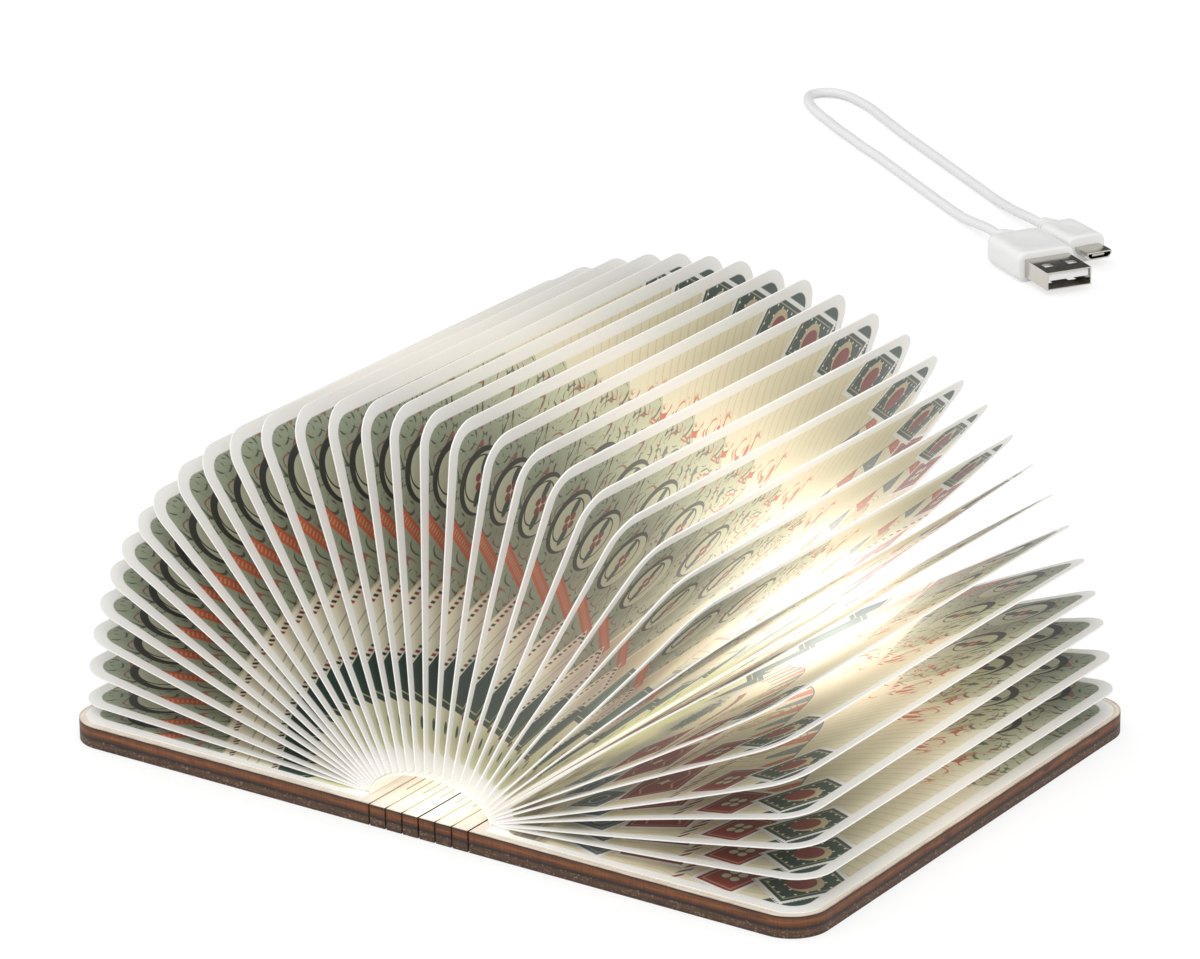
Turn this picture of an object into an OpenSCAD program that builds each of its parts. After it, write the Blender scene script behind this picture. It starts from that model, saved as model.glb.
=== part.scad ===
// Folding book lamp: a plywood cover with a laser cut bending spine, a fan of paper
// leaves round a small rechargeable light, and a short charging lead lying beside it.
// The lamp lies open flat. The origin is under the middle of the spine, +X runs to the
// right cover, +Y to the far edge of the book and +Z up. Lengths are millimetres.

/* [Cover] */
// Width of the open book across both covers
book_w = 175; // [150:1:200]
// Depth of the book along the spine
book_d = 122; // [110:1:150]
// Thickness of the plywood
board_t = 4.4; // [4:0.1:5]
// Radius of the outer corners of the covers
corner_r = 8; // [4:0.5:12]

/* [Bending spine] */
// Distance between the cuts that run out at the near edge
kerf_pitch = 3.9; // [3.7:0.1:4.3]
// Width of a cut where the wood bends
kerf_w = 0.2; // [0.15:0.05:0.3]
// Angle that the wood bends at each cut when the book is closed
fold_deg = 30; // [20:1:30]
// Width of the slots that start inside the slats
slot_w = 0.4; // [0.3:0.05:0.5]
// Distance from the near and far edges to where those slots start
slot_inset = 9.5; // [6:0.5:14]
// Length of the open cut at each end of the middle slat
core_cut_l = 40; // [20:1:50]

/* [Leaves] */
// Length of a leaf from its root to its outer edge
leaf_l = 72; // [50:1:72]
// Distance from the near and far edges of a cover to the paper
paper_end_gap = 3.8; // [2:0.1:9]
// Thickness of a pressed leaf
leaf_t = 0.25; // [0.2:0.01:0.28]
// Radius of the outer corners of a leaf
leaf_r = 6.5; // [3:0.5:10]
// Angle between neighbouring leaves
leaf_step_deg = 5.28; // [5.2:0.02:5.3]
// Thickness of an end sheet glued to a cover
sheet_t = 0.2; // [0.15:0.05:0.25]
// Bare wood left along the outer edge of a cover
sheet_side_gap = 1.8; // [1:0.1:6]
// Distance from the last spine cut to the foot of the arch of leaf roots
arch_foot = 3.6; // [3.2:0.1:5]
// Clear height between the lamp and the crown of the arch
arch_gap = 1.9; // [1.7:0.1:3]
// Thickness of the strip that binds the leaf roots
strip_t = 0.3; // [0.2:0.05:0.4]
// Distance between the strip and the leaf roots
strip_gap = 0.3; // [0.2:0.05:0.4]

/* [Light unit] */
// Width of the light unit
unit_w = 10; // [9.8:0.1:10.4]
// Height of the light unit above the spine
unit_h = 5.9; // [5.9:0.1:7]
// Length of the light unit along the spine
unit_l = 100; // [93:1:108]
// Distance from the far edge of the spine to the light unit
unit_far_gap = 3; // [1:0.5:5]
// Width of the foot that is glued to the spine
unit_foot_w = 5.6; // [4:0.1:6]
// Height of the sloped sides above the spine
unit_slope_h = 1.5; // [1.3:0.1:1.6]
// Thickness of the walls beside the diffuser
unit_wall = 0.8; // [0.6:0.05:0.9]
// Width of the ledge that the diffuser rests on
ledge_w = 0.35; // [0.3:0.05:0.4]
// Thickness of the diffuser
diffuser_t = 0.8; // [0.5:0.1:0.9]
// Thickness of the circuit board
pcb_t = 1; // [0.6:0.1:1]
// Thickness of the battery
cell_t = 2.4; // [1.5:0.1:2.4]
// Length of the battery
cell_l = 36; // [20:1:36]
// Number of light chips
led_count = 6; // [2:1:8]
// Length of a light chip
led_l = 2.8; // [2:0.1:3]
// Width of a light chip
led_w = 3.5; // [2.5:0.1:3.5]
// Height of a light chip
led_t = 0.7; // [0.4:0.05:0.9]
// Width of the charging socket
socket_w = 7.5; // [7.5:0.1:7.8]
// Height of the charging socket
socket_h = 2.5; // [2.4:0.1:2.5]
// Depth of the charging socket
socket_l = 5.6; // [5:0.1:7]
// Thickness of the socket's metal
socket_wall = 0.3; // [0.2:0.05:0.35]
// Length of the magnet switch
switch_l = 4; // [3:0.1:4]
// Width of the magnet switch
switch_w = 2; // [1.5:0.1:3]
// Height of the magnet switch
switch_t = 1; // [0.8:0.1:1.5]

/* [Cover magnets] */
// Diameter of a cover magnet
magnet_d = 6; // [4:0.5:8]
// Thickness of a cover magnet
magnet_t = 2; // [1:0.1:3]
// Distance from the outer edge of a cover to the middle of its magnets
magnet_edge = 10; // [8:0.5:14]
// Distance along the spine between the two magnets of a cover
magnet_span = 86; // [40:1:90]
// Clearance round a magnet in its pocket
magnet_gap = 0.05; // [0.02:0.01:0.1]

/* [Charging lead] */
// Diameter of the lead
cord_d = 2.5; // [2:0.1:3]
// Width of the large plug's grip
grip_a_w = 15.4; // [14:0.2:16]
// Thickness of the large plug's grip
grip_a_t = 7.6; // [7:0.1:8]
// Length of the large plug's grip
grip_a_l = 18; // [15:0.5:19]
// Width of the large plug's metal shell
shell_a_w = 12; // [11.8:0.1:12.2]
// Thickness of the large plug's metal shell
shell_a_t = 4.5; // [4.4:0.1:4.6]
// Length of the large plug's metal shell
shell_a_l = 12; // [11:0.5:14]
// Thickness of the sheet metal of the shells
shell_wall = 0.35; // [0.3:0.05:0.4]
// Length of a latch window in the large plug's shell
window_l = 2; // [1.5:0.1:2.5]
// Width of a latch window in the large plug's shell
window_w = 2.3; // [1.5:0.1:2.5]
// Distance from the grip to the latch windows
window_x = 5.6; // [4:0.1:6]
// Distance between the two latch windows
window_span = 6.4; // [5:0.1:7]
// Thickness of the tongue in the large plug
tongue_a_t = 1.8; // [1.4:0.1:1.9]
// Width of the small plug's grip
grip_b_w = 10.4; // [9:0.2:11]
// Thickness of the small plug's grip
grip_b_t = 6.8; // [6:0.1:7]
// Length of the small plug's grip
grip_b_l = 15; // [12:0.5:16]
// Width of the small plug's metal shell
shell_b_w = 6.9; // [6.8:0.05:7]
// Thickness of the small plug's metal shell
shell_b_t = 1.9; // [1.8:0.05:2]
// Length of the small plug's metal shell
shell_b_l = 6; // [5:0.5:7]
// Thickness of the tongue in the small plug
tongue_b_t = 0.6; // [0.4:0.05:0.65]
// Length of the ribbed neck behind each grip
neck_l = 6; // [4:0.5:7]
// Number of ribs on a neck
rib_count = 4; // [2:1:5]

/* [Hidden] */
leaf_count = 34;
leaf_numbers = [for (k = [1:leaf_count]) k];

// Board edges and the lines that the spine bends along
mid_z = board_t / 2;
kerf_relief = mid_z * tan(fold_deg / 2);
last_kerf_x = 3 * kerf_pitch;
cover_edge_x = book_w / 2;
slot_l = book_d - 2 * slot_inset;
leaf_d = book_d - 2 * paper_end_gap;

// Clearance of a part in its bay, and how far a cutting shape runs past what it cuts
fit_gap = 0.1;
cut_over = 1;

// The arch that the leaf roots stand on
arch_base_z = board_t + sheet_t;
arch_half_w = last_kerf_x + arch_foot;
arch_rise = unit_h + arch_gap - sheet_t;
strip_half_w = arch_half_w - strip_gap;
strip_rise = arch_rise - strip_gap;
sheet_inner_x = strip_half_w + fit_gap;
arc_steps = 6;
strip_steps = 24;

// Heights inside the light unit, from the spine up
unit_floor_z = board_t + unit_slope_h;
unit_top_z = board_t + unit_h;
diffuser_z = unit_top_z - diffuser_t;
pcb_z = unit_floor_z + pcb_t;
unit_far = book_d / 2 - unit_far_gap;
unit_near = unit_far - unit_l;
unit_bay_w = unit_w - 2 * unit_wall;
bay_w = unit_bay_w - 2 * ledge_w;
bay_near = unit_near + unit_wall;
bay_far = unit_far - unit_wall;
part_gap = 1;
socket_near = unit_far - socket_l;
socket_tongue_t = 0.6;
cell_far = socket_near - 2 * part_gap;
cell_near = cell_far - cell_l;
cell_edge_r = 0.6;
switch_far = cell_near - part_gap;
led_far = switch_far - switch_l - part_gap;
led_near = bay_near + 2 * part_gap;
led_step = (led_far - led_near - led_l) / max(led_count - 1, 1);

// Where the plugs lie, and which way they point
plug_a_at = [-87, 302];
plug_a_turn = -32;
plug_b_at = [-83.5, 316.5];
plug_b_turn = -29;
neck_d = 4.2;
neck_core_d = 3.4;
rib_share = 0.6;
grip_r = 2;
grip_dish = 0.4;
grip_dish_share = 0.58;
tongue_back = 0.6;
shell_b_chamfer = 0.8;
shell_b_floor = 0.5;
cord_sides = 8;

// Route of the lead over the table, from the large plug to the small one
cord_z = cord_d / 2;
plug_a_z = grip_a_t / 2;
plug_b_z = grip_b_t / 2;
cord_route = [
    [-87, 302, plug_a_z], [-92.5, 305.5, plug_a_z], [-98.5, 310, 2.8], [-104.5, 314.5, 1.8],
    [-110.5, 319, cord_z], [-117, 323.5, cord_z], [-124, 328.5, cord_z], [-131, 333.5, cord_z],
    [-138, 338.5, cord_z], [-145, 343.5, cord_z], [-152, 348.5, cord_z], [-159, 353, cord_z],
    [-166, 358, cord_z], [-172.5, 362.5, cord_z], [-179, 367.5, cord_z], [-185, 372, cord_z],
    [-190, 376.5, cord_z], [-194, 381, cord_z], [-195.5, 385.5, cord_z], [-193, 389, cord_z],
    [-188, 389.5, cord_z], [-182, 387, cord_z], [-176, 383.5, cord_z], [-170, 379, cord_z],
    [-163.5, 374, cord_z], [-157, 369, cord_z], [-150, 364, cord_z], [-143, 359, cord_z],
    [-136, 354, cord_z], [-129, 349, cord_z], [-122, 344, cord_z], [-115, 339, cord_z],
    [-108, 334, cord_z], [-101, 328.5, 1.9], [-95, 323.5, 2.8], [-89, 319.5, plug_b_z],
    [-83.5, 316.5, plug_b_z]];

function leaf_name(k) = str("leaf_", k < 10 ? "0" : "", k);

// Angle of a leaf from +X, counted from the left cover
function leaf_angle(k) = 90 + ((leaf_count + 1) / 2 - k) * leaf_step_deg;

// Where a leaf's root stands on the arch
function leaf_root(k) = [arch_half_w * cos(leaf_angle(k)),
                         arch_base_z + arch_rise * sin(leaf_angle(k))];

// Points of an arc round a centre, from one angle to another
function arc(centre, r, from, to, steps) =
    [for (i = [0:steps]) centre + r * [cos(from + (to - from) * i / steps),
                                       sin(from + (to - from) * i / steps)]];

// Sheet that runs from x0 to x1, with its two corners at x1 rounded
function sheet_outline(x0, x1, depth, r) = concat(
    [[x0, -depth / 2]],
    arc([x1 - r, r - depth / 2], r, -90, 0, arc_steps),
    arc([x1 - r, depth / 2 - r], r, 0, 90, arc_steps),
    [[x0, depth / 2]]);

// Half of the gap at a bending cut, at the given distance from the middle of the board
function cut_half(away) = kerf_w / 2 + kerf_relief * away / mid_z;

// Rounded rectangle of exact arcs, centred
module rounded_rect(w, h, r) {
    square([w - 2 * r, h], center = true);
    square([w, h - 2 * r], center = true);
    for (sx = [-1, 1], sy = [-1, 1]) {
        translate([sx * (w / 2 - r), sy * (h / 2 - r)])
            circle(r, $fn = 32);
    }
}

// Extrudes a section drawn in XZ along Y
module along_y(y0, y1) {
    translate([0, y1, 0])
        rotate([90, 0, 0])
            linear_extrude(y1 - y0)
                children();
}

// Extrudes a section drawn across and up along +X
module along_x(x0, x1) {
    translate([x0, 0, 0])
        rotate([90, 0, 90])
            linear_extrude(x1 - x0)
                children();
}

// Slot with round ends along Y, cut through the board
module through_slot(x, y0, y1) {
    translate([x - slot_w / 2, y0 + slot_w / 2, -cut_over])
        cube([slot_w, y1 - y0 - slot_w, board_t + 2 * cut_over]);
    for (y = [y0 + slot_w / 2, y1 - slot_w / 2]) {
        translate([x, y, -cut_over])
            cylinder(h = board_t + 2 * cut_over, d = slot_w, $fn = 24);
    }
}

// Piece of board between two bending cuts
module slat_blank(x0, x1) {
    along_y(-book_d / 2, book_d / 2)
        polygon([[x0 + cut_half(mid_z), 0], [x1 - cut_half(mid_z), 0],
                 [x1 - cut_half(0), mid_z], [x1 - cut_half(mid_z), board_t],
                 [x0 + cut_half(mid_z), board_t], [x0 + cut_half(0), mid_z]]);
}

module slat(x0) {
    difference() {
        slat_blank(x0, x0 + kerf_pitch);
        through_slot(x0 + kerf_pitch / 2, -slot_l / 2, slot_l / 2);
    }
}

module spine_slat_1() color("tan") slat(-3 * kerf_pitch);

module spine_slat_2() color("burlywood") slat(-2 * kerf_pitch);

module spine_slat_5() color("burlywood") slat(kerf_pitch);

module spine_slat_6() color("tan") slat(2 * kerf_pitch);

module spine_core() {
    color("wheat")
        difference() {
            slat_blank(-kerf_pitch, kerf_pitch);
            for (side = [-1, 1]) {
                through_slot(side * kerf_pitch / 2, -slot_l / 2, slot_l / 2);
                translate([-slot_w / 2, side * book_d / 2 - core_cut_l, -cut_over])
                    cube([slot_w, 2 * core_cut_l, board_t + 2 * cut_over]);
            }
        }
}

// One cover, drawn on the right
module cover() {
    inner = last_kerf_x + cut_half(0);
    difference() {
        linear_extrude(board_t)
            union() {
                translate([inner, -book_d / 2])
                    square([cover_edge_x - corner_r - inner, book_d]);
                translate([inner, corner_r - book_d / 2])
                    square([cover_edge_x - inner, book_d - 2 * corner_r]);
                for (side = [-1, 1]) {
                    translate([cover_edge_x - corner_r, side * (book_d / 2 - corner_r)])
                        circle(corner_r, $fn = 64);
                }
            }
        for (z = [0, board_t]) {
            along_y(-book_d / 2 - cut_over, book_d / 2 + cut_over)
                polygon([[inner - cut_over, mid_z], [inner, mid_z],
                         [last_kerf_x + cut_half(mid_z), z], [inner - cut_over, z]]);
        }
        for (side = [-1, 1]) {
            translate([cover_edge_x - magnet_edge, side * magnet_span / 2, board_t - magnet_t])
                cylinder(h = magnet_t + cut_over, r = magnet_d / 2 + magnet_gap, $fn = 48);
        }
    }
}

module right_cover() color("sienna") cover();

module left_cover() color("sienna") mirror([1, 0, 0]) cover();

module cover_magnets() {
    for (side = [-1, 1]) {
        translate([cover_edge_x - magnet_edge, side * magnet_span / 2, board_t - magnet_t])
            cylinder(h = magnet_t, d = magnet_d, $fn = 48);
    }
}

module right_magnets() color("silver") cover_magnets();

module left_magnets() color("silver") mirror([1, 0, 0]) cover_magnets();

module end_sheet() {
    translate([0, 0, board_t])
        linear_extrude(sheet_t)
            polygon(sheet_outline(sheet_inner_x, cover_edge_x - sheet_side_gap,
                                  leaf_d, leaf_r));
}

module right_end_sheet() color("ivory") end_sheet();

module left_end_sheet() color("ivory") mirror([1, 0, 0]) end_sheet();

// Thin arch under the leaf roots, glued to both covers at its feet
module root_strip() {
    function rib(a, b) = [for (i = [0:strip_steps])
        [a * cos(180 * i / strip_steps), arch_base_z + b * sin(180 * i / strip_steps)]];
    outer = rib(strip_half_w, strip_rise);
    inner = rib(strip_half_w - strip_t, strip_rise - strip_t);
    color("white")
        along_y(-leaf_d / 2, leaf_d / 2)
            polygon(concat([[strip_half_w, board_t]], outer, [[-strip_half_w, board_t]],
                           [[strip_t - strip_half_w, board_t]],
                           [for (i = [strip_steps:-1:0]) inner[i]],
                           [[strip_half_w - strip_t, board_t]]));
}

module leaf(k) {
    root = leaf_root(k);
    color("whitesmoke")
        translate([root.x, 0, root.y])
            rotate([0, -leaf_angle(k), 0])
                translate([0, 0, -leaf_t / 2])
                    linear_extrude(leaf_t)
                        polygon(sheet_outline(0, leaf_l, leaf_d, leaf_r));
}

// Open channel that holds the light unit's parts
module light_tray() {
    color("white")
        difference() {
            along_y(unit_near, unit_far)
                polygon([[-unit_foot_w / 2, board_t], [unit_foot_w / 2, board_t],
                         [unit_w / 2, unit_floor_z], [unit_w / 2, unit_top_z],
                         [-unit_w / 2, unit_top_z], [-unit_w / 2, unit_floor_z]]);
            translate([-bay_w / 2, bay_near, unit_floor_z])
                cube([bay_w, bay_far - bay_near, unit_h]);
            translate([-unit_bay_w / 2, bay_near, diffuser_z])
                cube([unit_bay_w, bay_far - bay_near, unit_h]);
            translate([-socket_w / 2 - fit_gap, bay_far - cut_over, pcb_z])
                cube([socket_w + 2 * fit_gap, unit_wall + 2 * cut_over, socket_h + fit_gap]);
        }
}

module diffuser() {
    color("lightyellow")
        translate([fit_gap - unit_bay_w / 2, bay_near + fit_gap, diffuser_z])
            cube([unit_bay_w - 2 * fit_gap, bay_far - bay_near - 2 * fit_gap, diffuser_t]);
}

module circuit_board() {
    color("darkgreen")
        translate([fit_gap - bay_w / 2, bay_near + fit_gap, unit_floor_z])
            cube([bay_w - 2 * fit_gap, bay_far - bay_near - 2 * fit_gap, pcb_t]);
}

module battery() {
    color("silver")
        along_y(cell_near, cell_far)
            translate([0, pcb_z + cell_t / 2])
                rounded_rect(bay_w - 4 * fit_gap, cell_t, cell_edge_r);
}

module light_chips() {
    color("gold")
        for (i = [0:led_count - 1]) {
            translate([-led_w / 2, led_near + i * led_step, pcb_z])
                cube([led_w, led_l, led_t]);
        }
}

module charging_socket() {
    color("silver")
        difference() {
            translate([-socket_w / 2, socket_near, pcb_z])
                cube([socket_w, socket_l, socket_h]);
            difference() {
                translate([socket_wall - socket_w / 2, socket_near + part_gap, pcb_z + socket_wall])
                    cube([socket_w - 2 * socket_wall, socket_l, socket_h - 2 * socket_wall]);
                translate([-socket_w / 4, socket_near, pcb_z + socket_h / 2 - socket_tongue_t / 2])
                    cube([socket_w / 2, socket_l - part_gap, socket_tongue_t]);
            }
        }
}

module magnet_switch() {
    color("dimgray")
        translate([-switch_w / 2, switch_far - switch_l, pcb_z])
            cube([switch_w, switch_l, switch_t]);
}

// Direction of the route at a point, from its two neighbours
function route_dir(i) =
    let (a = cord_route[max(i - 1, 0)], b = cord_route[min(i + 1, len(cord_route) - 1)])
    (b - a) / norm(b - a);

// Ring of points round the route, square to it
function route_ring(i) =
    let (d = route_dir(i), side = cross(d, [0, 0, 1]) / norm(cross(d, [0, 0, 1])),
         up = cross(side, d))
    [for (j = [0:cord_sides - 1])
        let (a = 360 * (j + 0.5) / cord_sides)
        cord_route[i] + cord_d / 2 * (cos(a) * side + sin(a) * up)];

module charging_cord() {
    n = len(cord_route);
    s = cord_sides;
    points = [for (i = [0:n - 1]) each route_ring(i)];
    walls = [for (i = [0:n - 2], j = [0:s - 1], h = [0, 1])
        h == 0 ? [i * s + j, (i + 1) * s + j, (i + 1) * s + (j + 1) % s]
               : [i * s + j, (i + 1) * s + (j + 1) % s, i * s + (j + 1) % s]];
    ends = [[for (j = [0:s - 1]) j], [for (j = [0:s - 1]) n * s - 1 - j]];
    color("white")
        polyhedron(points, concat(walls, ends));
}

// Grip with its ribbed neck, lying along +X from where the lead enters it
module grip(w, t, l) {
    rib_pitch = neck_l / rib_count;
    difference() {
        union() {
            along_x(neck_l, neck_l + l)
                rounded_rect(w, t, grip_r);
            rotate([0, 90, 0])
                cylinder(h = neck_l + cut_over, d = neck_core_d, $fn = 32);
            for (i = [0:rib_count - 1]) {
                translate([i * rib_pitch, 0, 0])
                    rotate([0, 90, 0])
                        cylinder(h = rib_pitch * rib_share, d = neck_d + i * (t - neck_d) / (rib_count + 1), $fn = 32);
            }
        }
        for (side = [-1, 1]) {
            translate([neck_l + l / 2, 0, side * t / 2])
                cube([l * grip_dish_share, w * grip_dish_share, 2 * grip_dish], center = true);
        }
    }
}

// Puts a plug where it lies on the table, with its middle at the given height
module lay_plug(at, turn, z) {
    translate([at.x, at.y, z])
        rotate([0, 0, turn])
            children();
}

module large_plug_grip() {
    color("white")
        lay_plug(plug_a_at, plug_a_turn, plug_a_z)
            grip(grip_a_w, grip_a_t, grip_a_l);
}

module large_plug_shell() {
    x0 = neck_l + grip_a_l;
    color("silver")
        lay_plug(plug_a_at, plug_a_turn, plug_a_z)
            difference() {
                along_x(x0, x0 + shell_a_l)
                    square([shell_a_w, shell_a_t], center = true);
                along_x(x0 - cut_over, x0 + shell_a_l + cut_over)
                    square([shell_a_w - 2 * shell_wall, shell_a_t - 2 * shell_wall], center = true);
                for (side = [-1, 1]) {
                    translate([x0 + window_x + window_l / 2, side * window_span / 2, 0])
                        cube([window_l, window_w, shell_a_t + cut_over], center = true);
                }
            }
}

module large_plug_tongue() {
    x0 = neck_l + grip_a_l;
    top = shell_a_t / 2 - shell_wall - fit_gap;
    w = shell_a_w - 2 * shell_wall - 2 * fit_gap;
    color("white")
        lay_plug(plug_a_at, plug_a_turn, plug_a_z)
            translate([x0, -w / 2, top - tongue_a_t])
                cube([shell_a_l - tongue_back, w, tongue_a_t]);
}

module small_plug_grip() {
    color("white")
        lay_plug(plug_b_at, plug_b_turn, plug_b_z)
            grip(grip_b_w, grip_b_t, grip_b_l);
}

// Section of the small shell, with its two lower corners cut off
function small_section(w, t) = [[-w / 2, t / 2], [w / 2, t / 2], [w / 2, 0],
                                [w / 2 - shell_b_chamfer, -t / 2],
                                [shell_b_chamfer - w / 2, -t / 2], [-w / 2, 0]];

module small_plug_shell() {
    x0 = neck_l + grip_b_l;
    color("silver")
        lay_plug(plug_b_at, plug_b_turn, plug_b_z) {
            difference() {
                along_x(x0, x0 + shell_b_l)
                    polygon(small_section(shell_b_w, shell_b_t));
                along_x(x0 + shell_b_floor, x0 + shell_b_l + cut_over)
                    polygon(small_section(shell_b_w - 2 * shell_wall, shell_b_t - 2 * shell_wall));
            }
            translate([x0, -shell_b_w / 4, -tongue_b_t / 2])
                cube([shell_b_l - tongue_back, shell_b_w / 2, tongue_b_t]);
        }
}

right_cover();
left_cover();
spine_slat_1();
spine_slat_2();
spine_core();
spine_slat_5();
spine_slat_6();
right_end_sheet();
left_end_sheet();
root_strip();
for (k = leaf_numbers) {
    leaf(k);
}
light_tray();
diffuser();
circuit_board();
battery();
light_chips();
charging_socket();
magnet_switch();
right_magnets();
left_magnets();
charging_cord();
large_plug_grip();
large_plug_shell();
large_plug_tongue();
small_plug_grip();
small_plug_shell();
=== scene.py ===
"""Looks of the folding book lamp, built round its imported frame.

Lengths are metres in the frame's own axes: +Z is up, +Y is the far edge of the book and
+X its right cover. Sizes of the lamp are written in millimetres, times MM.
"""

import functools
import logging
import math
import random
from dataclasses import dataclass
from enum import Enum
from typing import Callable, Sequence, Union

import bpy
from mathutils import Matrix, Vector


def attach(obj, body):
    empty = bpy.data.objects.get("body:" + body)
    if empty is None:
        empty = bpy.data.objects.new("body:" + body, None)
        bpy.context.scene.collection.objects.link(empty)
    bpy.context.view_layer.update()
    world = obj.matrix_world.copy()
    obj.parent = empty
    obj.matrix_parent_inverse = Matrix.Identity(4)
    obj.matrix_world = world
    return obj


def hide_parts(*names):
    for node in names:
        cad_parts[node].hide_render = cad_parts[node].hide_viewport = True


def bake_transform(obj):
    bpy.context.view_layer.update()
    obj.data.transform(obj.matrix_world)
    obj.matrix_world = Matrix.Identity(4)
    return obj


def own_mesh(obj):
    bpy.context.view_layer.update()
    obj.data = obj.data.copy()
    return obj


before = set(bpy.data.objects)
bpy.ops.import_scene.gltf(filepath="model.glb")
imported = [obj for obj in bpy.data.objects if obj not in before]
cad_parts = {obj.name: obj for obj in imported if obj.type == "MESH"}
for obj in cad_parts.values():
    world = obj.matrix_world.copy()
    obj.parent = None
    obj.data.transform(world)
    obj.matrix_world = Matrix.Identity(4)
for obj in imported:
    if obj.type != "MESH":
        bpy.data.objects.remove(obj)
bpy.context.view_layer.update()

MM = 0.001
PAGE_MAP = "page"
LIT_ATTRIBUTE = "lamp_light"

# Degrees over which an edge is rounded or stays sharp, and metres under which two places are one.
CREASE = 40.0
TOUCH = 1e-6

log = logging.getLogger("book_lamp")

Colour = tuple[float, float, float, float]
Point = tuple[float, float, float]
Station = tuple[float, float, float, float]


def linear(code: str) -> Colour:
    """Turns a colour as it looks on screen into the numbers that shaders use.

    Args:
        code: the colour as # and six hexadecimal digits.

    Returns:
        Red, green, blue and an alpha of 1.
    """
    parts = [int(code[i:i + 2], 16) / 255 for i in (1, 3, 5)]
    return tuple(c / 12.92 if c <= 0.04045 else ((c + 0.055) / 1.055) ** 2.4 for c in parts) + (1.0,)


class Value:
    """A number that changes over a surface, held as the node socket that gives it."""

    def __init__(self, pad: "NodePad", socket: bpy.types.NodeSocket) -> None:
        """Keeps the socket and the pad that its next nodes go on."""
        self.pad, self.socket = pad, socket

    def __add__(self, other: "Number") -> "Value":
        """Sum with another value."""
        return self.pad.math("ADD", self, other)

    def __radd__(self, other: "Number") -> "Value":
        """Sum with a plain number on the left."""
        return self.pad.math("ADD", other, self)

    def __sub__(self, other: "Number") -> "Value":
        """Difference from another value."""
        return self.pad.math("SUBTRACT", self, other)

    def __rsub__(self, other: "Number") -> "Value":
        """Difference from a plain number on the left."""
        return self.pad.math("SUBTRACT", other, self)

    def __mul__(self, other: "Number") -> "Value":
        """Product with another value."""
        return self.pad.math("MULTIPLY", self, other)

    def abs(self) -> "Value":
        """Value without its sign."""
        return self.pad.math("ABSOLUTE", self)

    def fract(self) -> "Value":
        """What is left above the whole number below."""
        return self.pad.math("FRACT", self)

    def repeated(self, pitch: float, shift: float = 0.0) -> "Value":
        """Distance from the nearest middle of a row, shifted by a share of its pitch."""
        cell = self * (1 / pitch)
        return ((cell - shift if shift else cell).fract() - 0.5) * pitch

    def sin(self) -> "Value":
        """Sine, of radians."""
        return self.pad.math("SINE", self)

    def cos(self) -> "Value":
        """Cosine, of radians."""
        return self.pad.math("COSINE", self)

    def root(self) -> "Value":
        """Square root."""
        return self.pad.math("SQRT", self)

    def most(self, other: "Number") -> "Value":
        """Larger of two values."""
        return self.pad.math("MAXIMUM", self, other)

    def bell(self, width: float) -> "Value":
        """1 where the value is 0, falling off smoothly over the width."""
        return self.pad.math("EXPONENT", self * self * (-1 / width ** 2))

    def ramp(self, start: float, end: float) -> "Value":
        """0 up to start, 1 from end on, and straight between them."""
        scale = 1 / (end - start)
        return self.pad.math("MULTIPLY_ADD", self, scale, -start * scale, clamp=True)

    def inside(self, soft: float = 0.14) -> "Value":
        """1 where a distance to an outline is negative, with a soft edge."""
        return self.pad.math("MULTIPLY_ADD", self, -1 / soft, 0.5, clamp=True)


Number = Union[Value, float]


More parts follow.
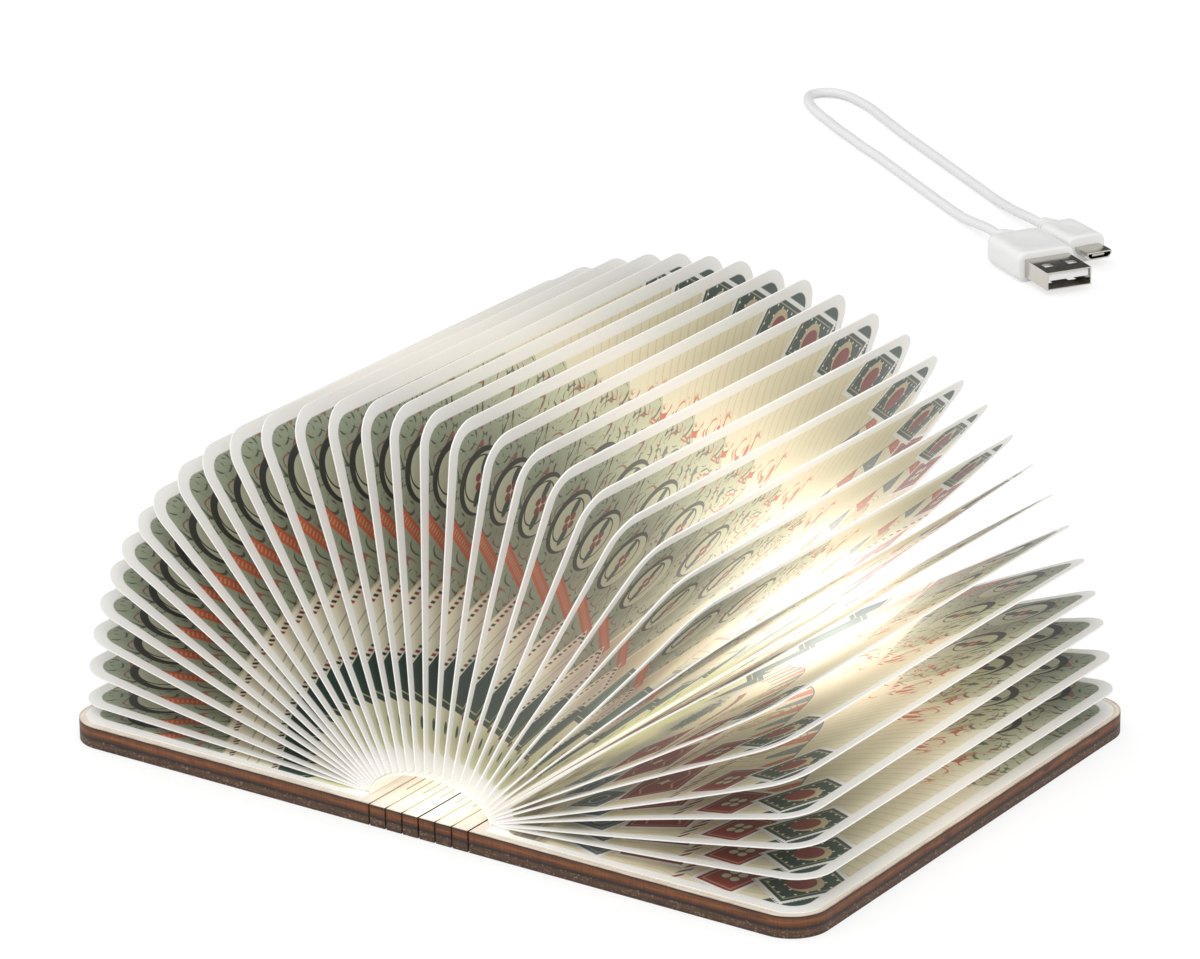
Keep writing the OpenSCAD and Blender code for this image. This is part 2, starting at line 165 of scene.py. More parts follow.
class NodePad:
    """A node tree that is being filled: a material's, a world's or a group's."""

    def __init__(self, tree: bpy.types.NodeTree) -> None:
        """Keeps the tree."""
        self.tree = tree

    def node(self, kind: str, **settings: object) -> bpy.types.Node:
        """Adds a node.

        Args:
            kind: the node's class name.
            settings: properties of the node and their values.

        Returns:
            The node.
        """
        made = self.tree.nodes.new(kind)
        for name, value in settings.items():
            setattr(made, name, value)
        return made

    def feed(self, socket: bpy.types.NodeSocket, source: object) -> None:
        """Links a value or a socket to an input, or sets the input to a constant.

        Args:
            socket: the input.
            source: a Value, an output socket, a number, or a colour or vector.
        """
        if isinstance(source, Value):
            source = source.socket
        if isinstance(source, bpy.types.NodeSocket):
            self.tree.links.new(source, socket)
        else:
            socket.default_value = source

    def math(self, operation: str, *parts: Number, clamp: bool = False) -> Value:
        """Adds a maths node.

        Args:
            operation: what it works out.
            parts: its inputs, in order.
            clamp: whether the result is kept from 0 to 1.

        Returns:
            The result.
        """
        made = self.node("ShaderNodeMath", operation=operation, use_clamp=clamp)
        for socket, part in zip(made.inputs, parts):
            self.feed(socket, part)
        return Value(self, made.outputs[0])

    def mix(self, share: Number, first: object, second: object,
            how: str = "MIX") -> bpy.types.NodeSocket:
        """Mixes two colours.

        Args:
            share: how much of the second colour shows, from 0 to 1.
            first: colour or socket.
            second: colour or socket.
            how: Blender's name of the blend.

        Returns:
            The mixed colour's socket.
        """
        made = self.node("ShaderNodeMix", data_type="RGBA", blend_type=how)
        self.feed(made.inputs[0], share)
        self.feed(made.inputs[6], first)
        self.feed(made.inputs[7], second)
        return made.outputs[2]

    def scaled(self, colour: object, by: Number) -> bpy.types.NodeSocket:
        """Multiplies a colour by a value.

        Args:
            colour: colour or socket.
            by: the value.

        Returns:
            The product's socket.
        """
        made = self.node("ShaderNodeVectorMath", operation="SCALE")
        self.feed(made.inputs["Vector"], colour[:3] if isinstance(colour, tuple) else colour)
        self.feed(made.inputs["Scale"], by)
        return made.outputs["Vector"]

    def split(self, vector: object) -> tuple[Value, Value, Value]:
        """Takes a vector apart.

        Args:
            vector: vector or socket.

        Returns:
            Its x, y and z.
        """
        made = self.node("ShaderNodeSeparateXYZ")
        self.feed(made.inputs[0], vector)
        return tuple(Value(self, out) for out in made.outputs)

    def joined(self, x: Number, y: Number, z: Number) -> bpy.types.NodeSocket:
        """Makes a vector of three values.

        Args:
            x: its first part.
            y: its second part.
            z: its third part.

        Returns:
            The vector's socket.
        """
        made = self.node("ShaderNodeCombineXYZ")
        for socket, part in zip(made.inputs, (x, y, z)):
            self.feed(socket, part)
        return made.outputs[0]

    def noise(self, vector: object, scale: float, detail: float = 2.0, rough: float = 0.5) -> Value:
        """Soft random pattern.

        Args:
            vector: where it is read.
            scale: waves per unit of the vector.
            detail: number of finer layers.
            rough: weight of the finer layers.

        Returns:
            A value around 0.5.
        """
        made = self.node("ShaderNodeTexNoise")
        self.feed(made.inputs["Vector"], vector)
        for name, number in (("Scale", scale), ("Detail", detail), ("Roughness", rough)):
            made.inputs[name].default_value = number
        return Value(self, made.outputs[0])

    def stretched(self, place: object, waves: Point, detail: float = 2.0, rough: float = 0.5) -> Value:
        """Noise with its own number of waves along each axis.

        Args:
            place: where it is read.
            waves: waves per unit along x, y and z.
            detail: number of finer layers.
            rough: weight of the finer layers.

        Returns:
            A value around 0.5.
        """
        made = self.node("ShaderNodeVectorMath", operation="MULTIPLY")
        self.feed(made.inputs[0], place)
        self.feed(made.inputs[1], waves)
        return self.noise(made.outputs[0], 1.0, detail, rough)

    def relief(self, shader: bpy.types.Node, height: object, strength: float, depth: float) -> None:
        """Raises a shader's surface a little through a Bump node.

        Args:
            shader: the Principled shader.
            height: the value that gives the height.
            strength: how strongly it shows.
            depth: the height of a value of 1, in metres.
        """
        made = self.node("ShaderNodeBump")
        made.inputs["Strength"].default_value = strength
        made.inputs["Distance"].default_value = depth
        self.feed(made.inputs["Height"], height)
        self.feed(shader.inputs["Normal"], made.outputs[0])

    def grouped(self, tree: bpy.types.NodeTree, **inputs: object) -> bpy.types.Node:
        """Places a node group.

        Args:
            tree: the group.
            inputs: its inputs by name, with _ for each space.

        Returns:
            The group node.
        """
        made = self.node("ShaderNodeGroup")
        made.node_tree = tree
        for name, source in inputs.items():
            self.feed(made.inputs[name.replace("_", " ")], source)
        return made


class EffectGroup:
    """A shader node group with named inputs and outputs, made once."""

    name = ""
    inputs: Sequence[tuple[str, str]] = ()
    outputs: Sequence[tuple[str, str]] = ()

    def tree(self) -> bpy.types.NodeTree:
        """Finds the group, or makes it the first time it is asked for.

        Returns:
            The group.
        """
        found = bpy.data.node_groups.get(self.name)
        if found:
            return found
        made = bpy.data.node_groups.new(self.name, "ShaderNodeTree")
        for way, sockets in (("INPUT", self.inputs), ("OUTPUT", self.outputs)):
            for label, kind in sockets:
                made.interface.new_socket(name=label, in_out=way, socket_type="NodeSocket" + kind)
        pad = NodePad(made)
        entry, result = pad.node("NodeGroupInput"), pad.node("NodeGroupOutput")
        for label, source in self.fill(pad, entry.outputs).items():
            pad.feed(result.inputs[label], source)
        return made

    def fill(self, pad: NodePad, given: bpy.types.NodeOutputs) -> dict[str, object]:
        """Adds the group's nodes.

        Args:
            pad: the group's tree.
            given: the group's inputs.

        Returns:
            What each output shows, by name.
        """
        raise NotImplementedError


class Ink(Enum):
    """Colours of the print in plain light, except that peach and sage are darkened a little as painted
    shade.
    """

    PAPER = "#F0EEEA"
    CREAM = "#E9E4CC"
    TAN = "#E2D7B8"
    # Peach and sage lie on the near part of the pages and are darker than printed, as painted shade where
    # the leaves shade each other.
    PEACH = "#C9B894"
    SAGE = "#969E86"
    PALE_SAGE = "#CDD0B4"
    GREEN = "#32483E"
    TEAL = "#4D7970"
    BRICK = "#8E3D35"
    ORANGE = "#C2623D"
    SLATE = "#6D787D"
    OCHRE = "#A8935F"
    CHARCOAL = "#32332F"
    STRAW = "#D9DAA9"
    BARK = "#5E4A30"
    LINE = "#BBA67C"


class PagePrint(EffectGroup):
    """The print on every leaf: panels, labels and garlands of an old stationery sheet.

    It is drawn in millimetres. across runs from the leaf's root to its outer edge, and along
    from the end with the pale green panel to the end with the labels.
    """

    name = "page_print"
    inputs = (("Page", "Vector"),)
    outputs = (("Colour", "Color"),)
    width = 72.0
    length = 114.4
    margin = 2.7
    corner = 3.9
    flare = 1.7
    row_pitch = 19.0

    def fill(self, pad: NodePad, given: bpy.types.NodeOutputs) -> dict[str, object]:
        """Paints the print layer by layer, from the paper up.

        Args:
            pad: the group's tree.
            given: the group's inputs.

        Returns:
            The print's colour.
        """
        self.pad = pad
        u, w, _ = pad.split(given["Page"])
        self.u, self.w = u * self.width, w * self.length
        self.place = pad.joined(self.u, self.w, 0.0)
        self.colour = pad.mix(0.0, linear(Ink.CREAM.value), linear(Ink.CREAM.value))
        for layer in (self.ground, self.ruling, self.green_panel, self.medallion, self.diamonds,
                      self.tick_band, self.letter, self.flourish, self.seal, self.garland,
                      self.foliage, self.labels):
            layer()
        grain = pad.noise(self.place, 2.2, 3.0, 0.7).ramp(0.2, 0.8) * 0.1 + 0.93
        printed = pad.scaled(self.colour, grain)
        return {"Colour": pad.mix(self.field().inside(0.25), linear(Ink.PAPER.value), printed)}

    def field(self) -> Value:
        """Outlines the printed field, which widens towards the leaf's root.

        Returns:
            Distance to its outline, negative inside.
        """
        x, y = self.local(self.width / 2, self.length / 2)
        wider = (1.0 - self.u * (1 / self.width)) * self.flare
        inset = self.margin + self.corner
        return self.box(x, y.abs() - wider, self.width / 2 - inset, self.length / 2 - inset, self.corner)

    def local(self, across: float, along: float, turn: float = 0.0) -> tuple[Value, Value]:
        """Axes of one motif.

        Args:
            across: middle of the motif from the leaf's root.
            along: middle of the motif from the end of the page.
            turn: how far it is turned, in degrees.

        Returns:
            Distances from the middle along the motif's own axes.
        """
        x, y = self.u - across, self.w - along
        if not turn:
            return x, y
        c, s = math.cos(math.radians(turn)), math.sin(math.radians(turn))
        return x * c + y * s, y * c - x * s

    def box(self, x: Value, y: Value, half_x: float, half_y: float, radius: float = 0.0) -> Value:
        """Outlines a rectangle.

        Args:
            x: distance from its middle.
            y: distance from its middle, square to x.
            half_x: half of its side along x.
            half_y: half of its side along y.
            radius: how far it is grown and rounded.

        Returns:
            Distance to its outline, negative inside.
        """
        dx, dy = x.abs() - half_x, y.abs() - half_y
        if not radius:
            return dx.most(dy)
        ox, oy = dx.most(0.0), dy.most(0.0)
        return (ox * ox + oy * oy).root() - radius

    def disc(self, x: Value, y: Value, radius: float) -> Value:
        """Distance to a circle."""
        return (x * x + y * y).root() - radius

    def line(self, distance: Value, thick: float) -> Value:
        """Distance to a line of some thickness drawn along an outline."""
        return distance.abs() - thick / 2

    def ruled(self, value: Value, pitch: float, thick: float, soft: float, at: float = 0.5) -> Value:
        """Evenly spaced lines across a value.

        Args:
            value: what the lines are counted along.
            pitch: their spacing.
            thick: their thickness, as a share of the pitch.
            soft: width of their soft edges, as a share of the pitch.
            at: where a line lies, as a share of the pitch.

        Returns:
            1 on the lines and 0 between them.
        """
        return self.line((value * (1 / pitch)).fract() - at, thick).inside(soft)

    def paint(self, mask: Value, ink: Ink) -> None:
        """Lays a colour over the print where the mask is 1."""
        self.colour = self.pad.mix(mask, self.colour, linear(ink.value))

    def ground(self) -> None:
        """Cream paper, peach beside the green panel, straw by the fold and tan at the far end."""
        self.paint(self.w.ramp(52, 84) * 0.8, Ink.TAN)
        x, y = self.local(38, 0, -14)
        self.paint(self.box(x, y, 14, 24).inside(5.0) * 0.8, Ink.PEACH)
        self.paint(self.u.ramp(17, 9) * self.w.ramp(96, 50) * 0.8, Ink.STRAW)

    def ruling(self) -> None:
        """Thin wavy lines over the tan half."""
        wave = (self.u * 0.21).sin() * 1.5 + (self.u * 0.07 + self.w * 0.05).sin() * 2.2
        self.paint(self.ruled(self.w + wave, 2.7, 0.1, 0.1) * self.w.ramp(50, 60) * 0.5, Ink.LINE)

    def green_panel(self) -> None:
        """Green panel at the outer corner, paler away from it, with uneven pen scrolls over it."""
        x, y = self.local(65, 16, -20)
        panel = self.box(x, y, 22.5, 31)
        mask = panel.inside()
        self.paint(self.line(panel - 0.8, 0.8).inside(), Ink.CREAM)
        self.paint(mask, Ink.SAGE)
        self.paint(mask * self.w.ramp(6, 34) * 0.85, Ink.PALE_SAGE)
        for size, level, pen, ink in ((0.17, 0.42, 0.034, Ink.CHARCOAL), (0.17, 0.6, 0.02, Ink.BRICK),
                                      (0.3, 0.5, 0.022, Ink.CHARCOAL)):
            press = self.pad.noise(self.place, size * 2.3, 0.0).ramp(0.42, 0.62)
            self.paint(self.pen_stroke(size, level, press * pen) * mask * 0.8, ink)

    def pen_stroke(self, size: float, level: float, thick: Value) -> Value:
        """Winding line drawn where a noise passes a level.

        Args:
            size: waves of the noise per millimetre.
            level: the level, which sets one line apart from another.
            thick: half of its thickness, measured in the noise.

        Returns:
            1 on the line and 0 beside it.
        """
        curl = self.pad.noise(self.place, size, 0.0)
        return ((curl - level).abs() - thick).inside(0.012)

    def medallion(self) -> None:
        """Row of dark rings round pale discs, each with a red flower and two leaves."""
        x, y = self.local(58, 1.0)
        step = y.repeated(self.row_pitch)
        reach = self.w.ramp(40, 39)
        disc = self.disc(x, step, 6.9)
        self.paint(disc.inside() * reach, Ink.PALE_SAGE)
        hollow = self.disc(x + 0.5, step - 0.75, 6.1)
        self.paint(disc.inside() * (1.0 - hollow.inside()) * reach, Ink.CHARCOAL)
        self.paint(self.line(self.disc(x - 0.6, step + 0.5, 4.6), 0.35).inside() * reach, Ink.CHARCOAL)
        leaf = self.disc((x.abs() - 3.0) * 0.6, step * 1.1 - x * 0.35, 1.15)
        self.paint(leaf.inside() * reach, Ink.GREEN)
        petals = self.disc(x.abs() - 0.9, step.abs() - 0.9, 0.85)
        self.paint(petals.inside() * reach, Ink.BRICK)

    def tick_band(self) -> None:
        """Orange band with fine pale ticks, slanted over the edge of the green panel."""
        x, y = self.local(44.5, 7.5, 50)
        band = self.box(x, y - x.abs() * 0.6, 1.3, 10.5)
        self.paint(band.inside(), Ink.ORANGE)
        self.paint(self.ruled(y, 0.95, 0.34, 0.2) * self.box(x, y, 0.6, 9.2).inside() * 0.6, Ink.PEACH)

    def diamonds(self) -> None:
        """Row of dark green diamonds by the fold, teal inside, and one of red dots and small leaves."""
        x, y = self.local(22.0, -5.5)
        step = y.repeated(self.row_pitch)
        gem = x.abs() * 0.8 + step.abs() * 0.62 - 7.6
        row = self.w.ramp(60, 58)
        self.paint(gem.inside() * row, Ink.GREEN)
        self.paint((gem + 3.4).inside(3.4) * row * self.w.ramp(4, 22) * 0.8, Ink.TEAL)
        self.paint(self.line(gem + 1.2, 0.25).inside() * row * 0.7, Ink.STRAW)
        x, y = self.local(12.0, 0.0)
        dot = y.repeated(self.row_pitch / 2)
        self.paint(self.disc(x, dot, 0.7).inside() * row, Ink.BRICK)
        self.paint(self.disc((x + 2.6) * 0.6, (dot.abs() - 1.8) * 1.8, 0.8).inside() * row, Ink.GREEN)

    def letter(self) -> None:
        """Letter cards with a striped border and a few ruled lines."""
        for across, along, turn, half in ((29.5, 4.5, -24, (4.9, 10.0)), (31, 42, 32, (5.2, 8.5))):
            x, y = self.local(across, along, turn)
            card = self.box(x, y, *half)
            self.paint((card - 0.9).inside(), Ink.CREAM)
            border = self.line(card, 1.1).inside()
            self.dashes(x * 0.8 + y, (2.7, 0.27, 0.06), border, Ink.CHARCOAL)
            self.paint(self.ruled(x, 2.2, 0.14, 0.08) * (card + 2.0).inside() * 0.6, Ink.SLATE)

    def dashes(self, value: Value, spacing: Point, mask: Value, second: Ink) -> None:
        """Row of dashes, in brick and a second ink by turns.

        Args:
            value: what the dashes are counted along.
            spacing: pitch, thickness and softness of the dashes in one ink, as in ruled.
            mask: where they show.
            second: the second ink.
        """
        for at, ink in ((0.25, Ink.BRICK), (0.75, second)):
            self.paint(mask * self.ruled(value, *spacing, at), ink)

    def flourish(self) -> None:
        """Orange pen strokes that wind across the page."""
        x, y = self.local(54, 51, 8)
        field = self.box(x, y, 12, 10).inside(1.5)
        press = self.pad.noise(self.place, 0.4, 0.0).ramp(0.4, 0.6)
        for level, pen in ((0.44, 0.032), (0.56, 0.026)):
            self.paint(self.pen_stroke(0.2, level, press * pen) * field, Ink.ORANGE)

    def seal(self) -> None:
        """Ochre oval with two thin rings."""
        x, y = self.local(47, 86, 20)
        oval = (x * x * 1.7 + y * y).root()
        spots = self.pad.noise(self.place, 1.1, 2.0).ramp(0.42, 0.6)
        self.paint((oval - 5.2).inside(), Ink.OCHRE)
        self.paint((oval - 4.2).inside() * spots * 0.7, Ink.TAN)
        for radius in (6.6, 8.0):
            self.paint(self.line(oval - radius, 0.32).inside() * 0.8, Ink.OCHRE)

    def garland(self) -> None:
        """String of pennants in orange and slate, with a ring drawn on each."""
        x, y = self.local(48, 74, 58)
        hang = y + (x * 0.09).cos() * 3.0
        reach = (x.abs() - 27.0).inside()
        for shift, ink in ((0.25, Ink.ORANGE), (0.75, Ink.SLATE)):
            cell = x.repeated(15.0, shift)
            flag = (cell.abs() + hang * 0.3 - 3.1).most((hang - 3.7).abs() - 3.5)
            self.paint(flag.inside() * reach, ink)
            ring = self.line(self.disc(cell, hang - 2.7, 1.1), 0.3)
            self.paint(ring.inside() * reach * 0.6, Ink.PEACH)
        self.paint(self.line(hang, 0.3).inside() * (x.abs() - 30.0).inside(), Ink.CHARCOAL)

    def foliage(self) -> None:
        """Spray of small green leaves beside a brick ribbon."""
        x, y = self.local(25, 76, -12)
        spray = self.pad.noise(self.pad.joined(x, y * 0.6, 3.0), 1.1, 2.0, 0.7)
        reach = (x * x * 2.4 + y * y * 0.5).root().ramp(12.0, 4.5)
        self.paint((spray + reach * 0.55).ramp(0.86, 0.93) * 0.85, Ink.GREEN)
        bow = self.disc(x + 22.0, y - 8.0, 33.0)
        ribbon = self.line(bow, 1.8).inside() * ((y - 8.0).abs() - 13.0).inside()
        self.paint(ribbon, Ink.BRICK)
        notches = self.ruled(y, 3.0, 0.14, 0.1)
        self.paint(notches * ribbon * self.line(bow, 0.9).inside(), Ink.PEACH)

    def label(self, across: float, along: float, turn: float, half: tuple[float, float],
              ink: Ink) -> tuple[Value, Value]:
        """Label with a toothed white edge.

        Args:
            across: middle of the label from the leaf's root.
            along: middle of the label from the end of the page.
            turn: how far it is turned, in degrees.
            half: half of its two sides.
            ink: colour of its field.

        Returns:
            Its local axes, to draw on.
        """
        x, y = self.local(across, along, turn)
        teeth = ((x * 4.2).sin() * (y * 4.2).sin()).abs() * 0.55
        box = self.box(x, y, *half)
        self.paint((box + teeth - 1.1).inside(), Ink.PAPER)
        self.paint(box.inside(), ink)
        self.paint(self.line(box + 0.9, 0.25).inside() * 0.7, Ink.PEACH)
        return x, y

    def labels(self) -> None:
        """Labels stacked along the far end, with a row of slanted dashes between them."""
        bark = self.pad.noise(self.pad.joined(self.u * 0.5, self.w * 0.12, 7.0), 1.0, 2.0, 0.6)
        fold = self.w.ramp(76, 92) * self.u.ramp(14.5, 11.0)
        self.paint(fold * bark.ramp(0.3, 0.6) * 0.85, Ink.BARK)
        x, y = self.label(21, 107, 18, (4.6, 4.0), Ink.SLATE)
        self.paint(self.line(self.disc(x, y, 2.0), 0.5).inside() * 0.7, Ink.CREAM)
        x, y = self.label(32.5, 101, -9, (6.4, 7.5), Ink.BRICK)
        wave = self.line((x + (y * 0.8).sin() * 0.7).abs() - 3.4, 0.5)
        self.paint(wave.inside() * self.box(x, y, 5.0, 5.8).inside() * 0.7, Ink.PEACH)
        star = (x.abs() * y.abs() * 2.2 + (x * x + y * y) * 0.28).root() - 1.05
        self.paint(star.inside(), Ink.PALE_SAGE)
        x, y = self.local(42.5, 99, 3)
        strip = self.box(x, y, 0.85, 14).inside()
        self.paint(strip, Ink.CREAM)
        self.dashes(x * 1.4 + y * 0.8, (4.6, 0.28, 0.05), strip, Ink.SLATE)
        x, y = self.label(51, 106, 12, (4.6, 5.6), Ink.BRICK)
        self.paint(self.disc(x.abs() - 1.1, y.abs() - 1.1, 0.9).inside(), Ink.PALE_SAGE)
        x, y = self.local(70, 111, 33)
        self.paint(self.box(x, y, 7.0, 6.0).inside(), Ink.GREEN)
        x, y = self.label(64, 102, 33, (5.2, 7.2), Ink.GREEN)
        dots = self.disc(((x * 0.42).fract() - 0.5) * 2.4, ((y * 0.42).fract() - 0.5) * 2.4, 0.28)
        self.paint(dots.inside() * self.box(x, y, 5.0, 7.0).inside(), Ink.CREAM)
        self.paint(self.disc(x, y, 3.5).inside(), Ink.PEACH)
        self.paint(self.disc(x + 0.7, y - 0.5, 2.9).inside(), Ink.BRICK)


class LampLight(EffectGroup):
    """How the lamp's light spreads over a leaf: strongest on the far half, below its middle."""

    name = "lamp_light_on_page"
    inputs = (("Page", "Vector"), ("Place", "Vector"), ("Lit", "Float"))
    outputs = (("Light", "Float"),)
    slant = 1.05
    ridge_at = 56.8
    ridge_width = 23.0
    broad_middle = 31.0
    broad_reach = 20.0
    inner_middle = 30.0
    inner_reach = 34.0
    inner_fade = (-78.0, -15.0)
    inner_share = 0.13
    tip_fade = (56.0, 70.0)
    tip_nearer = 12.0
    tip_reach = 40.0
    tip_share = 0.02
    foot_reach = 16.0
    foot_share = 0.035
    half_way = 0.15

    def fill(self, pad: NodePad, given: bpy.types.NodeOutputs) -> dict[str, object]:
        """Adds a broad glow on the far half and faint ones all along, at the tip and at the root.

        Args:
            pad: the group's tree.
            given: the group's inputs.

        Returns:
            The light, from 0 to 1.
        """
        u, _, _ = pad.split(given["Page"])
        _, y, _ = pad.split(given["Place"])
        across, along = u * PagePrint.width, y * (1 / MM)
        ridge = along + across * self.slant - self.ridge_at
        broad = ridge.bell(self.ridge_width) * (across - self.broad_middle).bell(self.broad_reach)
        inner = (across - self.inner_middle).bell(self.inner_reach) * along.ramp(*self.inner_fade)
        tips = across.ramp(*self.tip_fade) * (along + self.tip_nearer).bell(self.tip_reach)
        feet = across.ramp(self.foot_reach, 0.0)
        lit = (broad + inner * self.inner_share) * Value(pad, given["Lit"])
        total = lit + tips * self.tip_share + feet * self.foot_share
        return {"Light": pad.math("DIVIDE", total, total + self.half_way)}


class WoodGrain(EffectGroup):
    """Grain of a pale sliced veneer, running along Y."""

    name = "wood_grain"
    inputs = (("Place", "Vector"), ("Light Wood", "Color"), ("Dark Wood", "Color"))
    outputs = (("Colour", "Color"),)
    streak_waves = (900.0, 26.0, 900.0)
    pore_waves = (5200.0, 260.0, 5200.0)
    tone_waves = (60.0, 12.0, 60.0)

    def fill(self, pad: NodePad, given: bpy.types.NodeOutputs) -> dict[str, object]:
        """Adds long streaks, fine pores and a slow change of tone.

        Args:
            pad: the group's tree.
            given: the group's inputs.

        Returns:
            The grain's colour.
        """
        streaks = pad.stretched(given["Place"], self.streak_waves, 4.0, 0.62)
        pores = pad.stretched(given["Place"], self.pore_waves, 2.0, 0.6)
        tone = pad.stretched(given["Place"], self.tone_waves, 1.0)
        dark = streaks.ramp(0.35, 0.75) * 0.6 + pores.ramp(0.5, 0.85) * 0.35 + tone.ramp(0.3, 0.8) * 0.25
        return {"Colour": pad.mix(dark, given["Light Wood"], given["Dark Wood"])}


class BurntEdge(EffectGroup):
    """Edge of plywood cut by a laser: three plies scorched brown, with dark lines between."""

    name = "burnt_edge"
    inputs = (("Place", "Vector"),)
    outputs = (("Colour", "Color"), ("Height", "Float"))
    thick = 4.4 * MM
    bands = ((0.0, "#5A3A20"), (0.05, "#382114"), (0.1, "#4B3323"), (0.3, "#573C27"), (0.38, "#44291A"),
             (0.42, "#1E120B"), (0.48, "#24150C"), (0.53, "#4A2815"), (0.62, "#66391B"), (0.72, "#7E4A22"),
             (0.86, "#6E3F1F"), (0.95, "#482817"), (0.985, "#20130C"))
    wobble_waves = (120.0, 120.0, 500.0)
    streak_waves = (170.0, 170.0, 2600.0)
    speckle_waves = (1500.0, 1500.0, 2400.0)
    knot_waves = (150.0, 150.0, 420.0)
    stroke_waves = (3800.0, 3800.0, 160.0)
    speckle_colour = "#A8917A"
    knot_colour = "#2A1A12"

    def fill(self, pad: NodePad, given: bpy.types.NodeOutputs) -> dict[str, object]:
        """Adds bands by height, broken by streaks along the edge and by the laser's fine strokes.

        Args:
            pad: the group's tree.
            given: the group's inputs.

        Returns:
            The edge's colour and height.
        """
        place = given["Place"]
        x, y, z = pad.split(place)
        height = z * (1 / self.thick)
        wobble = pad.stretched(place, self.wobble_waves, 2.0) - 0.5
        streaks = pad.stretched(place, self.streak_waves, 3.0, 0.65)
        speckle = pad.stretched(place, self.speckle_waves, 2.0, 0.7)
        strokes = pad.stretched(pad.joined(x + y, x - y, z), self.stroke_waves, 1.0)
        knots = pad.stretched(place, self.knot_waves, 1.0).ramp(0.64, 0.72)
        shade = streaks.ramp(0.25, 0.75) * 0.95 + strokes.ramp(0.25, 0.75) * 0.45 + 0.2
        toned = pad.scaled(self.plies(pad, height + wobble * 0.1), shade)
        specks = speckle.ramp(0.58, 0.68) * height.ramp(0.46, 0.4) * 0.5
        pale = pad.mix(specks, toned, linear(self.speckle_colour))
        dark = pad.mix(knots * 0.65, pale, linear(self.knot_colour))
        return {"Colour": dark, "Height": streaks * 0.5 + strokes * 0.5}

    def plies(self, pad: NodePad, height: Value) -> bpy.types.NodeSocket:
        """Colours the plies.

        Args:
            pad: the group's tree.
            height: 0 at the underside of the board and 1 on top.

        Returns:
            The colour's socket.
        """
        ramp = pad.node("ShaderNodeValToRGB")
        pad.feed(ramp.inputs[0], height)
        stops = ramp.color_ramp.elements
        for number, (at, code) in enumerate(self.bands):
            stop = stops[number] if number < 2 else stops.new(at)
            stop.position, stop.color = at, linear(code)
        return ramp.outputs[0]


@dataclass(frozen=True)
class Plywood:
    """Pale plywood whose cut edges are scorched.

    Attributes:
        name: the material's name.
        light: colour of the wood between the streaks.
        dark: colour of the streaks.
        scorch: colour of the rim scorched round each face.
        rim: mean width of that rim.
        line: colour of the thin line inside the right cover's rim.
        line_inset: how far in that line lies.
        lit: how strongly the lamp lights the inner face beside the arch of leaf roots.
        lit_reach: how far that light spreads from the middle of the book.
        face_light: colour of that light on the face.
        cut_light: its colour on the walls of the spine cuts.
        half_width: half of the open book's width.
        half_depth: half of its depth.
        corner: radius of its corners.
    """

    name: str = "laser_cut_plywood"
    light: str = "#EDE6DC"
    dark: str = "#D8CAB5"
    scorch: str = "#8A5F3A"
    rim: float = 0.45 * MM
    line: str = "#C9A679"
    line_inset: float = 1.1 * MM
    lit: float = 0.75
    lit_reach: float = 11 * MM
    face_light: str = "#FFFEF8"
    cut_light: str = "#EBD9AC"
    half_width: float = 87.5 * MM
    half_depth: float = 61 * MM
    corner: float = 8 * MM

    def material(self) -> bpy.types.Material:
        """Makes the material, read in the frame's own place so that it runs on over the cuts.

        Returns:
            The material.
        """
        made, pad, shader = new_material(self.name)
        own = pad.node("ShaderNodeTexCoord")
        place = own.outputs["Object"]
        _, _, up = pad.split(own.outputs["Normal"])
        x, y, z = pad.split(place)
        face = up.abs().ramp(0.6, 0.9)
        far_x = (x.abs() - (self.half_width - self.corner)).most(0.0)
        far_y = (y.abs() - (self.half_depth - self.corner)).most(0.0)
        to_edge = self.corner - (far_x * far_x + far_y * far_y).root()
        edge = pad.grouped(BurntEdge().tree(), Place=place)
        wood = self.veneer(pad, place, x, to_edge)
        pad.feed(shader.inputs["Base Color"], pad.mix(face, edge.outputs["Colour"], wood))
        pad.feed(shader.inputs["Roughness"], 0.58 + face * 0.08)
        pad.relief(shader, Value(pad, edge.outputs["Height"]) * (1.0 - face * 0.6), 0.35, 0.08 * MM)
        on_face = x.bell(self.lit_reach) * (to_edge.ramp(0.0, 12 * MM) * 0.6 + 0.4) * up.ramp(0.5, 0.9)
        in_cuts = (1.0 - face) * z.ramp(3.8 * MM, 4.3 * MM) * x.bell(14 * MM) * x.ramp(10.4 * MM, 9 * MM)
        in_cuts = in_cuts * x.abs().ramp(0.6 * MM, 1.6 * MM) * to_edge.ramp(0.2 * MM, 2.5 * MM) * 1.5
        glow = pad.mix(1.0, pad.scaled(linear(self.face_light), on_face),
                       pad.scaled(linear(self.cut_light), in_cuts), "ADD")
        pad.feed(shader.inputs["Emission Color"], glow)
        shader.inputs["Emission Strength"].default_value = self.lit
        return made

    def veneer(self, pad: NodePad, place: object, x: Value, to_edge: Value) -> bpy.types.NodeSocket:
        """Colour of a face: grain, the scorched rim and the thin line inside it.

        Args:
            pad: the material's nodes.
            place: place on the board.
            x: distance to the right of the book's middle.
            to_edge: distance in from the outline.

        Returns:
            The colour.
        """
        grain = pad.grouped(WoodGrain().tree(), Place=place, Light_Wood=linear(self.light),
                            Dark_Wood=linear(self.dark))
        uneven = pad.noise(place, 260.0, 3.0).ramp(0.3, 0.75) * self.rim + 0.05 * MM
        scorched = (uneven - to_edge).ramp(-0.2 * MM, 0.3 * MM)
        wood = pad.mix(scorched * 0.75, grain.outputs["Colour"], linear(self.scorch))
        on_line = (to_edge - self.line_inset).abs().ramp(0.16 * MM, 0.05 * MM) * x.ramp(14 * MM, 20 * MM)
        return pad.mix(on_line * 0.5, wood, linear(self.line))


